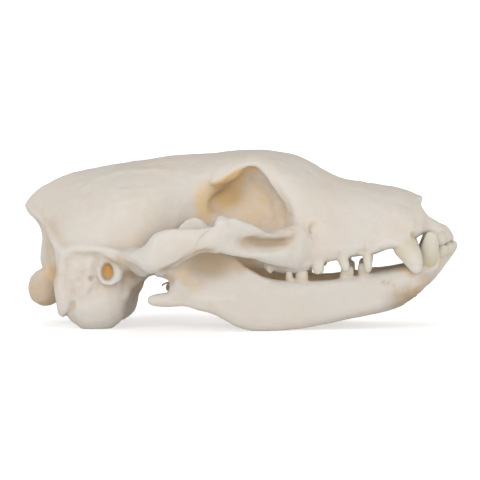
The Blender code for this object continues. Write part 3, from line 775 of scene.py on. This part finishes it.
# %% [markdown]
# ## Where the bone is shaded
# Hollows get a painted shade in warm brown, which also stands for the stain they keep, creases a
# painted tan shade and ridges a painted lighter highlight. Rays sent out from each point tell how
# shut in it is, and the distance to an evened copy of the skin tells ridges from creases. The
# material reads both as attributes of the skin, since a baked picture would need a map.

# %% Measure how shut in each point is
RAY_REACH = 14.0
RAY_START = 0.35
RAY_TILTS = ((20, 3), (48, 5), (70, 6))  # degrees from straight out, and rays in that ring


def ray_fan():
    fan = []
    for tilt, count in RAY_TILTS:
        for k in range(count):
            turn = 2 * math.pi * (k + tilt / 90) / count
            out = math.sin(math.radians(tilt))
            fan.append((out * math.cos(turn), out * math.sin(turn), math.cos(math.radians(tilt))))
    return fan


def tree_of(pieces):
    bm = bmesh.new()
    for piece in pieces:
        bm.from_mesh(piece.data)
    tree = BVHTree.FromBMesh(bm)
    bm.free()
    return tree


def shut_in(bones, points, normals):
    """For each point, the share of its outward rays that soon meet bone."""
    fan = ray_fan()
    share = np.zeros(len(points))
    for i, (point, normal) in enumerate(zip(points, normals)):
        out = Vector(normal)
        aside = out.orthogonal().normalized()
        third = out.cross(aside)
        start = Vector(point) * MM + out * RAY_START * MM
        total = 0.0
        for a, b, c in fan:
            hit = bones.ray_cast(start, aside * a + third * b + out * c, RAY_REACH * MM)
            if hit[3] is not None:
                total += 1 - hit[3] / (RAY_REACH * MM)
        share[i] = total / len(fan)
    return share


def keep_attribute(obj, name, values):
    kept = obj.data.attributes.new(name, "FLOAT", "POINT")
    kept.data.foreach_set("value", np.clip(values, 0, 1).astype(np.float32))


EDGE_ROUNDS = 7
EDGE_BLUR = 2
EDGE_HEIGHT = 0.12  # how far a ridge stands proud where it counts in full


# the edge value lays a painted highlight on ridges and a painted shade in creases
def edges_of(obj, points, normals):
    """Half on flat bone, one along a ridge and nothing along a crease."""
    proud = ((points - smoothed(obj, points, EDGE_ROUNDS)) * normals).sum(axis=1)
    return evened(obj, np.clip(proud / EDGE_HEIGHT, -1, 1), EDGE_BLUR) * 0.5 + 0.5


# %% [markdown]
# ## Where the bone is stained and shaded
# Stains and painted shade have ragged borders. Each is a patch or a line, and a noise moves the
# points that it is measured from, which frays its edge. Some count only where the bone faces back
# or down: the darker tan under the nape, and the painted shade in the roof of the eye socket.

# %% Mask the stains and painted shade
RAGGED = ((3.2, 0.8), (1.3, 0.35))  # size of the waver in a stain's border, and its reach
SOFT = 1.3  # how steeply a stain fades, where its row doesn't say
SHADE_BLUR = 4
INNER_GRIP, INNER_BLUR = 1.5, 6
BACK, DOWN = (0, 0.2), (2, 0.8)  # axis that the bone faces away from, and where that starts
FACING_GRIP = 1.6


def ragged_points(points):
    moved = points.copy()
    for size, reach in RAGGED:
        moved += reach * np.array([noise.noise_vector(Vector(p / size)) for p in points])
    return moved


def patch_mask(ragged, patches, lines):
    """The strongest of some named patches and lines at each point."""
    mask = np.zeros(len(ragged))
    for place, radii, strength, *given in patches:
        steepness = given[0] if given else SOFT
        for near in near_each_side(ragged, place, radii):
            mask = np.maximum(mask, strength * np.clip(steepness * near, 0, 1))
    for line, width, strength in lines:
        mask = np.maximum(mask, strength * np.exp(-((line_distance(ragged, line) / width) ** 2)))
    return mask


def facing(normals, way):
    axis, start = way
    return np.clip(start - normals[:, axis] * FACING_GRIP, 0, 1)


def add_shading(obj, bones, tan, amber, seam, behind=(), under=((), ()), pale=(), inner_amber_and_shade=0.0):
    """Keeps the attributes that the bone material reads.

    Tan, amber, seam and under are each a pair of patches and lines, and each holds stains as well as
    painted shade. The patches of behind are a darker tan where the bone faces back, those of under are
    amber painted shade where it faces down, and those of pale take painted shade away. The inner amber
    and shade value paints amber, partly stain and partly warm painted shade, on sides that face the
    middle, and takes their grey painted shade away in the same share.
    """
    points, normals = read_skin(obj)
    ragged = ragged_points(points)
    inward = np.clip(-normals[:, 1] * np.sign(points[:, 1]) * INNER_GRIP, 0, 1)
    # amber on sides that face the middle, partly stain and partly warm painted shade
    inner = inner_amber_and_shade * evened(obj, inward, INNER_BLUR)
    shade = evened(obj, shut_in(bones, points, normals), SHADE_BLUR)
    # painted shade from the rays, taken off where the inner amber or the pale patches stand
    keep_attribute(obj, "recess", shade * (1 - np.maximum(inner, patch_mask(points, pale, ()))))
    keep_attribute(obj, "edge", edges_of(obj, points, normals))
    # tan attribute: stains plus painted shade in grooves, bays and undersides
    nape = patch_mask(ragged, behind, ()) * facing(normals, BACK)
    keep_attribute(obj, "tan", np.maximum(nape, patch_mask(ragged, *tan)))
    # painted shade in amber where the bone under the brow rim faces down
    roof = patch_mask(ragged, *under) * facing(normals, DOWN)
    keep_attribute(obj, "amber", np.max([inner, roof, patch_mask(ragged, *amber)], axis=0))
    # seam attribute: dark seams and pits, plus painted shade in grooves and the deepest spots
    keep_attribute(obj, "seam", patch_mask(points, *seam))
    print(obj.name, "shade", round(float(shade.mean()), 3))


# %% [markdown]
# ## Stains and painted shade of the skull
# The nape gets a darker tan where the bone faces back, and the eye socket amber, partly stain and
# partly painted shade. The bay in front of the ear, the groove under the eye rim and the undersides
# of the cheek arch and the brow get painted shade. These could be painted by hand on a texture. As
# rows they stay with the forms above: a place, its radii, how strong the mark is, and for some how
# steeply it fades.

# %% Stain, shade and finish the skull bone
SKULL_TANS_AND_SHADE = [
    ((-64, 12, 12), (10, 9, 9), 0.85),  # the knob that meets the neck
    # painted shade on the lower side of the knob
    ((-62.5, 11.5, 8.5), (6.5, 7, 4.5), 1),
    ((-59.5, 15, 13), (3, 7, 7), 0.9),
    # painted shade on the downward face of the cheek arch's root
    ((-35, 33.5, 22.4), (6.5, 6.5, 4.2), 1, 0.9),
    # painted shadow in the bay under the cheek arch
    ((-31.5, 24, 18), (6.5, 12, 8.5), 0.95),  # bay in front of the ear opening
    # painted warm shade on the front of the capsule, which faces away from the light
    ((-32, 13, 8), (5.5, 9, 10), 0.5),
    ((-13.2, 39, 35.3), (2.6, 3, 1.1), 0.6),  # hollow on top of the cheek arch
    ((57.4, 14.6, 31.1), (1.6, 2, 2.2), 0.7),
    ((24.5, 18, 20.5), (2.5, 4, 3), 0.6),  # tooth sockets
    ((42.3, 18, 26.6), (1.4, 3, 3), 0.4),
    ((33, 19, 25), (1.6, 3, 3), 0.3),
    ((-46.4, 25.8, 16.8), (1.6, 2, 1.6), 0.5),  # pits under the ear opening
    ((-46.6, 25.5, 13), (1.8, 2, 1.8), 0.45),
    ((30, 12, 47.5), (6, 6, 4), 0.15),
]
# a darker tan that counts only where the bone under the nape crest faces back
NAPE_TANS = [
    ((-62, 18, 27.5), (8, 9, 12), 0.65),  # under the crest of the nape
    ((-58.5, 21, 18.5), (4.5, 10, 7), 0.9),
]
SKULL_AMBERS_AND_SHADE = [
    # amber in the eye socket, partly stain and partly painted shade
    ((-3.4, 9.5, 44), (8.5, 8, 8), 0.95),  # upper back of the eye socket
    ((5, 10, 41), (14, 9, 13), 0.3),  # its other walls
    ((12, 13, 36), (8, 6, 8), 0.2),
    ((-9.3, 15.5, 41.2), (6, 7, 8.6), 0.6, 2),  # and the wall behind it
    ((8.2, 9.8, 42.6), (2.4, 4, 3.2), 0.45),
    ((26.5, 10.8, 47.9), (2.6, 2.5, 0.9), 0.25),  # yellow fleck on the snout
    ((-60.8, 14, 18.6), (4.6, 5, 4.4), 0.65),  # hollow above the knob
    # painted shade on the inner side seen between the jaws
    ((3, 14, 22), (10, 9, 6), 0.5),  # inner side behind the cheek teeth
    ((-41.2, 20.5, 19.3), (3.6, 6.3, 4.5), 1, 3),  # inside the ear opening
    ((-38.6, 29.5, 23.6), (3.8, 3, 2), 0.6, 1),
    ((-34.5, 26, 21.5), (4, 6, 3), 0.45),
    # painted warm shade on the front of the capsule
    ((-32, 12, 10), (6, 10, 10), 0.3),  # front of the ear capsule
]
SKULL_SPECKS_AND_SHADE = [
    # painted shade in the deepest part of the eye socket
    ((-2.8, 12, 45), (8.5, 10, 9), 0.72),  # darkest part of the eye socket
    # painted shade in the dark gap at the top of the cheek seam
    ((-5.9, 38.7, 34.9), (1, 2, 0.9), 1),  # dark dot at the top of the cheek seam
    ((-46.2, 25.8, 16.9), (0.9, 2, 0.8), 0.5),
    ((-19.5, 39, 21.2), (4.5, 4, 2), 0.4),
    ((-60, 15, 18.2), (3.2, 6, 3.2), 0.3),
    ((-37.9, 25, 13.8), (1.2, 2, 1.6), 0.4),
]
# painted shade under the brow rim, where the bone faces down
EYE_ROOF_SHADE = [((-2, 14.5, 47.8), (9, 9, 7.5), 0.85, 2.5)]
# places where the painted shade of the hollows is made lighter
PALE_HOLLOWS = [
    ((7, 11, 41), (16, 11, 15), 0.7),
    ((-30, 26, 32), (22, 12, 11), 0.9),
    ((3, 14, 22), (12, 10, 7), 0.9),
    ((-33, 12, 10), (7, 10, 11), 0.9),
]
EYE_FRONT = [
    (15.2, 16.5, 43.5), (16.4, 16.8, 41.5), (16.6, 16.6, 39.2), (15.9, 15.3, 37), (12.9, 15.3, 33.1),
]
AMBER_LINES = ((EYE_FRONT, 1.3, 0.35), (EAR_SLIT, 0.6, 0.5))
# painted shade in tan along the groove under the eye rim, the arch's underside, creases and hollows
SHADE_TAN_LINES = (
    (UNDER_RIM, 2.4, 0.7), (UNDER_SEAM, 1.2, 0.9), (VESSEL_HOLE, 0.6, 0.5), (CAPSULE_CREASE, 0.7, 0.5),
    (NAPE_HOLLOW, 1.8, 0.3),
)
# painted shade in dark brown in the groove under the eye rim and under the cheek arch
SHADE_BROWN_LINES = (
    (UNDER_RIM[1:6], 1.5, 1), (UNDER_RIM, 0.9, 0.6), (VESSEL_HOLE, 0.35, 0.5), (UNDER_SEAM, 0.9, 0.25),
)
ROOF_LINES = ((RIM_SHADE, 2.2, 0.7),)
SEAM_STAIN = 0.4

bones = tree_of([skull, *jaws])
seam_stains = [(line, SEAM_WIDTH, SEAM_STAIN) for line in cheek_seams]
add_shading(
    skull,
    bones,
    tan=(SKULL_TANS_AND_SHADE, rows_both_sides(SHADE_TAN_LINES)),
    amber=(SKULL_AMBERS_AND_SHADE, rows_both_sides(AMBER_LINES)),
    seam=(SKULL_SPECKS_AND_SHADE, seam_stains + rows_both_sides(SHADE_BROWN_LINES)),
    under=(EYE_ROOF_SHADE, rows_both_sides(ROOF_LINES)),
    behind=NAPE_TANS,
    pale=PALE_HOLLOWS,
)
finish_piece(skull, BONE, "bone", *SKULL_BONES)

# %% [markdown]
# ## Stains and painted shade of the lower jaw
# The hollow of the chewing muscle gets painted shade where the cheek arch shades it, and the rough
# chin a tan that is partly stain and partly painted shade. The sides that face the middle get amber,
# partly stain and partly warm painted shade, and as they catch some light, less grey painted shade.

# %% Stain, shade and finish the lower jaw
JAW_TANS_AND_SHADE = [
    # painted shadow of the cheek arch on the muscle hollow, with some stain
    ((-5, 27, 25), (16, 7, 9), 1),  # hollow of the chewing muscle
    ((-20, 30, 18), (3, 5, 3), 0.6),
    # painted shade under the cheek arch
    ((2.5, 26.5, 21.8), (6, 4, 4.5), 0.9),  # front edge of the wing, under the cheek arch
    ((-13, 29.5, 15.2), (7, 4, 3.6), 0.35),
    # painted shadow under the tips of the upper big teeth
    ((58, 12, 18.6), (4, 4, 2.4), 0.8),  # under the tips of the upper big teeth
    # tan, partly stain and partly painted shade, on the rough chin
    ((57, 10, 11), (13, 7, 6), 0.9),  # rough chin
    ((61.5, 9.5, 15.5), (6, 5, 5), 0.6),
    ((49.3, 14, 15.2), (3.2, 2, 1.4), 0.25),
    ((63.5, 8, 17), (5, 4, 3), 0.4),
]
JAW_AMBERS = [
    ((-16, 29.5, 18.8), (3.6, 4, 4.4), 0.45),  # muscle scars
    ((-12.4, 29.5, 15.5), (4.5, 4, 2.2), 0.15),
    ((66.3, 8, 21.5), (1, 3, 2.6), 0.6),  # between big tooth and front teeth
    ((55, 11.5, 19.4), (5, 4, 1.8), 0.6),
]
JAW_SPECKS_AND_SHADE = [((x, 14, z), (0.7, 2, 0.45), 0.6) for x, z in ((47.9, 15.5), (49.4, 15.2), (51.4, 14.3))]
# painted shade in the muscle hollow and under the chin, after the vessel pits above
JAW_SPECKS_AND_SHADE += [((-8, 28, 21.5), (13, 6, 6.5), 0.8), ((55, 11, 9.5), (13, 8, 5), 0.6)]
# less painted shade along the inner side of the tooth row
JAW_PALE = [((26, 12, 15), (34, 4, 7), 0.85)]  # inner side, along the tooth row
INNER_AMBER_AND_SHADE = 0.6
for jaw, (_side, name) in zip(jaws, SIDES):
    stains_and_shade = {"tan": (JAW_TANS_AND_SHADE, ()), "amber": (JAW_AMBERS, ()), "seam": (JAW_SPECKS_AND_SHADE, ())}
    add_shading(jaw, bones, **stains_and_shade, pale=JAW_PALE, inner_amber_and_shade=INNER_AMBER_AND_SHADE)
    finish_piece(jaw, BONE, "bone", f"mandible_{name}")

# %% [markdown]
# ## The teeth
# The canines are full-sized and curved, and the cheek teeth are loose little pegs with room
# between them. Four outlines do for all: the two canines, a peg and a cutter. Each row then
# says where one tooth stands and how big it is.

# %% Places and outlines of the teeth
TOOTH_OUTLINES = {
    # how far from gum to tip, and how thick there
    "canine": (
        (-0.22, 0.7), (-0.1, 0.9), (0.08, 1.02), (0.25, 0.94), (0.5, 0.78), (0.72, 0.58), (0.88, 0.37),
        (0.97, 0.18),
    ),
    "column": (
        (-0.2, 0.8), (-0.08, 0.97), (0.1, 1.02), (0.3, 1.0), (0.52, 0.87), (0.72, 0.7), (0.88, 0.52),
        (0.97, 0.3),
    ),
    "peg": ((-0.15, 0.8), (-0.05, 0.92), (0.1, 1.0), (0.35, 0.94), (0.65, 0.9), (0.88, 0.72), (0.98, 0.4)),
    "cutter": ((-0.4, 0.7), (-0.1, 0.85), (0.15, 0.95), (0.45, 1.05), (0.75, 1.0), (0.9, 0.75), (0.98, 0.4)),
}
UPPER_TEETH = [
    # outline, place at the gum, tip, half length, half width, bow
    ("cutter", (67.3, 1.5, 31.8), (69.4, 1.6, 28), 1.8, 1.45, 0.2),
    ("cutter", (66.3, 4.4, 31.8), (68.2, 4.8, 27.6), 2, 1.6, 0.2),
    ("cutter", (64.9, 7, 31.8), (66.4, 7.7, 26.9), 2.4, 1.8, 0.2),
    ("canine", (54.1, 14.7, 28), (59, 16.8, 18.2), 4.3, 2.9, 0.9),
    ("peg", (42.2, 16.8, 26.6), (42.8, 17.6, 18.6), 1.7, 1.5, 0.2),
    ("peg", (33.7, 17.8, 25.2), (35.9, 18.6, 19), 1.9, 1.5, 0.2),
    ("peg", (25.6, 19, 24), (27.2, 19.8, 18.2), 2.3, 1.7, 0.1),
    ("peg", (10.4, 20, 21.4), (11.4, 20.6, 18.9), 1.3, 1.2, 0),
]
LOWER_TEETH = [
    ("cutter", (68.2, 1.6, 23), (71.4, 1.7, 28.3), 1.7, 1.4, 0.1),
    ("cutter", (66.9, 4.3, 22.8), (70, 4.7, 28), 1.8, 1.5, 0.1),
    ("cutter", (65.2, 6.8, 22.4), (67.9, 7.4, 27.4), 1.9, 1.5, 0.1),
    ("column", (61.6, 9.4, 21), (63.1, 12.8, 32.2), 3.6, 2.6, 0.5),
    ("peg", (41.3, 13, 17.9), (41.2, 13.6, 21.8), 2.1, 1.4, 0),
    ("peg", (35.7, 14.4, 17), (36.4, 14.9, 21), 2.4, 1.5, 0),
    ("peg", (21.3, 18.6, 15.9), (21.5, 18.6, 20.2), 2.3, 1.5, 0),
    ("peg", (17.4, 19.6, 15.9), (17.2, 19.6, 19.8), 1.3, 1.3, 0),
]
print("teeth on each side", len(UPPER_TEETH), "above,", len(LOWER_TEETH), "below")

# %% [markdown]
# ## One ring, pulled into a tooth
# A tooth is one ring that is pulled from the root up to the tip, one step for each row of its
# outline, and then rounded by a subdivision surface. A spun profile couldn't bow. Each point
# keeps how far along the tooth it is, for the yellow of the root.

# %% Draw the teeth
ROOT_TUCK = 7.0  # how far a root leans in towards the middle of the jaw
ROOT_END = 0.6  # how far up a tooth the yellow of its root reaches
TOOTH_AROUND = 12
NEARBY = 0.05


def tooth_axis(form, t, side):
    """A point on the middle line of a tooth, which is bowed above the gum and leans in below it."""
    _kind, gum, tip, _half_length, _half_width, bow = form
    x, y, z = np.array(gum) + (np.array(tip) - np.array(gum)) * t
    bend = 4 * bow * max(t, 0) * (1 - t)
    return Vector((x + bend + DRAWN_SHIFT, side * (y + ROOT_TUCK * min(t, 0)), z))


def ring_place(form, t, size, side):
    """The matrix that puts a unit circle at one step of a tooth."""
    half_length, half_width = form[3:5]
    along = (tooth_axis(form, t + NEARBY, side) - tooth_axis(form, t - NEARBY, side)).normalized()
    across = along.cross(Vector((1, 0, 0))).normalized()
    turn = Matrix((across.cross(along), across, along)).transposed().to_4x4()
    grow = Matrix.Diagonal((size * half_length, size * half_width, 1, 1))
    return Matrix.Scale(MM, 4) @ Matrix.Translation(tooth_axis(form, t, side)) @ turn @ grow


def pull_ring(bm, places, around):
    """Pulls a ring through all places, closes both ends and gives back its rings of points."""
    made = bmesh.ops.create_circle(bm, cap_ends=True, segments=around, radius=1, matrix=places[0])
    rings = [list(made["verts"])]
    face = rings[0][0].link_faces[0]
    for before, after in zip(places, places[1:]):
        face = bmesh.ops.extrude_discrete_faces(bm, faces=[face])["faces"][0]
        bmesh.ops.transform(bm, matrix=after @ before.inverted(), verts=face.verts)
        rings.append(list(face.verts))
    bm.faces.new(rings[0])
    return rings


def draw_teeth(name, forms, side, yellow):
    bm = bmesh.new()
    layer = bm.verts.layers.float.new("along")
    for form in forms:
        steps = TOOTH_OUTLINES[form[0]]
        rings = pull_ring(bm, [ring_place(form, t, size, side) for t, size in steps], TOOTH_AROUND)
        for (t, _size), ring in zip(steps, rings):
            for vertex in ring:
                vertex[layer] = t
    bmesh.ops.recalc_face_normals(bm, faces=bm.faces)
    obj = piece_from(bm, name)
    rounded = obj.modifiers.new("rounded", "SUBSURF")
    rounded.levels = rounded.render_levels = 2
    apply_modifiers(obj)
    values = np.empty(len(obj.data.vertices), np.float32)
    obj.data.attributes["along"].data.foreach_get("value", values)
    keep_attribute(obj, "root", yellow * np.clip(ROOT_END - values, 0, ROOT_END) / ROOT_END)
    finish_piece(obj, ENAMEL_FINISH, "bone")


for side, name in SIDES:
    for jaw_name, forms, yellow in (("upper", UPPER_TEETH, 0.5), ("lower", LOWER_TEETH, 1.0)):
        draw_teeth(f"{jaw_name}_teeth_{name}", forms, side, yellow)

# %% [markdown]
# ## The jaw wires
# The preparer tied the lower jaw on with thin wire, and its cut ends stick out behind the jaw
# joint. One ring is pulled along the bent wire, as the teeth are.

# %% Draw the jaw wires
WIRE_RADIUS = 0.28
WIRE_STEP = 0.4
WIRE_AROUND = 12
WIRE_PATH = [
    (-18.8, 27.2, 16.4), (-20.6, 26.9, 16.0), (-22.0, 26.7, 15.6), (-22.8, 26.6, 15.2), (-23.1, 26.6, 14.8),
]


def draw_wire(name, side):
    line = curve_through([on_side(p, side) for p in WIRE_PATH], WIRE_STEP)
    places = []
    for i, point in enumerate(line):
        along = Vector(line[min(i + 1, len(line) - 1)] - line[max(i - 1, 0)]).normalized()
        turn = along.to_track_quat("Z", "Y").to_matrix().to_4x4()
        places.append(Matrix.Scale(MM, 4) @ Matrix.Translation(point) @ turn @ Matrix.Scale(WIRE_RADIUS, 4))
    bm = bmesh.new()
    pull_ring(bm, places, WIRE_AROUND)
    bmesh.ops.recalc_face_normals(bm, faces=bm.faces)
    finish_piece(piece_from(bm, f"fine_{name}"), WIRE, "wire", name)


for side, name in SIDES:
    draw_wire(f"jaw_wire_{name}", side)

# %% [markdown]
# ## Floor
# The skull stands on a white surface. A plain plane would show its far edge, so a bent profile
# is spun round into a wide dish whose rim glows like a backlit studio table.

# %% Floor
FLOOR_RADIUS = 2.2  # all of the floor is in metres
FLOOR_BEND = 0.9
BEND_STEPS = 12
FLOOR_AROUND = 64
FLOOR_WHITE = (0.74, 0.74, 0.74, 1)
GLOW_START = 0.1
GLOW_FULL = 0.8
GLOW_NEAR = 0.55
GLOW_FAR = 0.76
GLOW_UNDER = 0.1  # what shines up on the skull from right below


def floor_material():
    """White, and lit from within towards the rim."""
    material, tree, shader = new_material("white_floor")
    shader.inputs["Base Color"].default_value = FLOOR_WHITE
    shader.inputs["Roughness"].default_value = 0.9
    place = add_node(tree, "ShaderNodeTexCoord").outputs["Object"]
    reach = add_node(tree, "ShaderNodeVectorMath", {0: place}, operation="LENGTH").outputs["Value"]
    camera_ray = add_node(tree, "ShaderNodeLightPath").outputs["Is Camera Ray"]
    seen = ranged(tree, camera_ray, 0.0, 1.0, GLOW_UNDER, GLOW_NEAR)
    glow = ranged(tree, reach, GLOW_START, GLOW_FULL, seen, GLOW_FAR)
    tree.links.new(glow, shader.inputs["Emission Color"])
    shader.inputs["Emission Strength"].default_value = 1.0
    return material


def draw_floor():
    bm = bmesh.new()
    flat_end = FLOOR_RADIUS - FLOOR_BEND
    profile = [bm.verts.new((0, 0, 0)), bm.verts.new((flat_end, 0, 0))]
    for k in range(1, BEND_STEPS + 1):
        turn = math.radians(90 * k / BEND_STEPS)
        x = flat_end + FLOOR_BEND * math.sin(turn)
        profile.append(bm.verts.new((x, 0, FLOOR_BEND * (1 - math.cos(turn)))))
    edges = [bm.edges.new(pair) for pair in zip(profile, profile[1:])]
    round_trip = {"axis": (0, 0, 1), "cent": (0, 0, 0), "angle": math.tau, "steps": FLOOR_AROUND}
    bmesh.ops.spin(bm, geom=profile + edges, use_merge=True, **round_trip)
    bmesh.ops.remove_doubles(bm, verts=bm.verts, dist=WELD * MM)
    bmesh.ops.recalc_face_normals(bm, faces=bm.faces)
    floor = piece_from(bm, "studio_floor")
    floor.data.materials.append(floor_material())
    floor.data.shade_smooth()
    floor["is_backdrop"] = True
    print("floor", len(floor.data.polygons), "faces")


draw_floor()

# %% [markdown]
# ## Light
# Big lamps give shadows soft edges. Here three square area lamps stand high on the tail side,
# low beside the camera and overhead, and the world adds the light that a white room throws back.

# %% Light
WORLD_LIGHT = 0.31
LAMP_AIM = (0, 0, 0.03)
LAMPS = [
    # name, place in metres, side of the square in metres, watts
    ("key", (-0.55, -0.9, 0.7), 0.5, 2.8),
    ("fill", (0.25, -1.1, 0.12), 0.5, 4.3),
    ("top", (0.0, 0.1, 1.3), 1.0, 4.4),
]


def draw_light():
    world = bpy.data.worlds.new("studio")
    world.use_nodes = True
    sky = world.node_tree.nodes["Background"]
    sky.inputs["Color"].default_value = WHITE
    sky.inputs["Strength"].default_value = WORLD_LIGHT
    bpy.context.scene.world = world
    for name, place, size, watts in LAMPS:
        lamp = bpy.data.lights.new(name, "AREA")
        lamp.size = size
        lamp.energy = watts
        obj = bpy.data.objects.new(name, lamp)
        obj.location = place
        aim = Vector(LAMP_AIM) - obj.location
        obj.rotation_euler = aim.to_track_quat("-Z", "Y").to_euler()
        bpy.context.scene.collection.objects.link(obj)
        print("lamp", name, watts, "watts")


draw_light()
bpy.context.scene.view_settings.view_transform = "Standard"

# %% [markdown]
# ## Camera
# The photo looks at the skull's right side from almost level and through a long lens, which
# keeps near and far parts alike in size. The lens here follows from the distance and the width
# that fills the picture.

# %% Camera
CAMERA_TURN = 4.0  # degrees round from the right side towards the nose
CAMERA_RISE = 3.0
CAMERA_DISTANCE = 700.0
CAMERA_AIM = (0.15, 0.0, 28.25)
FRAME_WIDTH = 160.0  # what the frame spans at the aim
SENSOR = 36.0


def draw_camera():
    turn, rise = math.radians(CAMERA_TURN), math.radians(CAMERA_RISE)
    back = Vector((math.sin(turn) * math.cos(rise), -math.cos(turn) * math.cos(rise), math.sin(rise)))
    camera = bpy.data.objects.new("camera", bpy.data.cameras.new("camera"))
    camera.data.sensor_width = SENSOR
    camera.data.lens = SENSOR * CAMERA_DISTANCE / FRAME_WIDTH
    camera.data.clip_start = 0.01
    camera.location = (Vector(CAMERA_AIM) + back * CAMERA_DISTANCE) * MM
    camera.rotation_euler = (-back).to_track_quat("-Z", "Y").to_euler()
    bpy.context.scene.collection.objects.link(camera)
    bpy.context.scene.camera = camera
    print("lens", round(camera.data.lens, 1))


draw_camera()

# %% [markdown]
# ## The size
# The dressed skull is meant to keep the size of the CAD model, so both boxes are printed.

# %% Print both boxes
dressed_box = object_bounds()
boxes = {"cad": [list(v) for v in cad_box], "dressed": [list(v) for v in dressed_box]}
for label, (low, high) in boxes.items():
    print(label, [round((b - a) / MM, 1) for a, b in zip(low, high)])
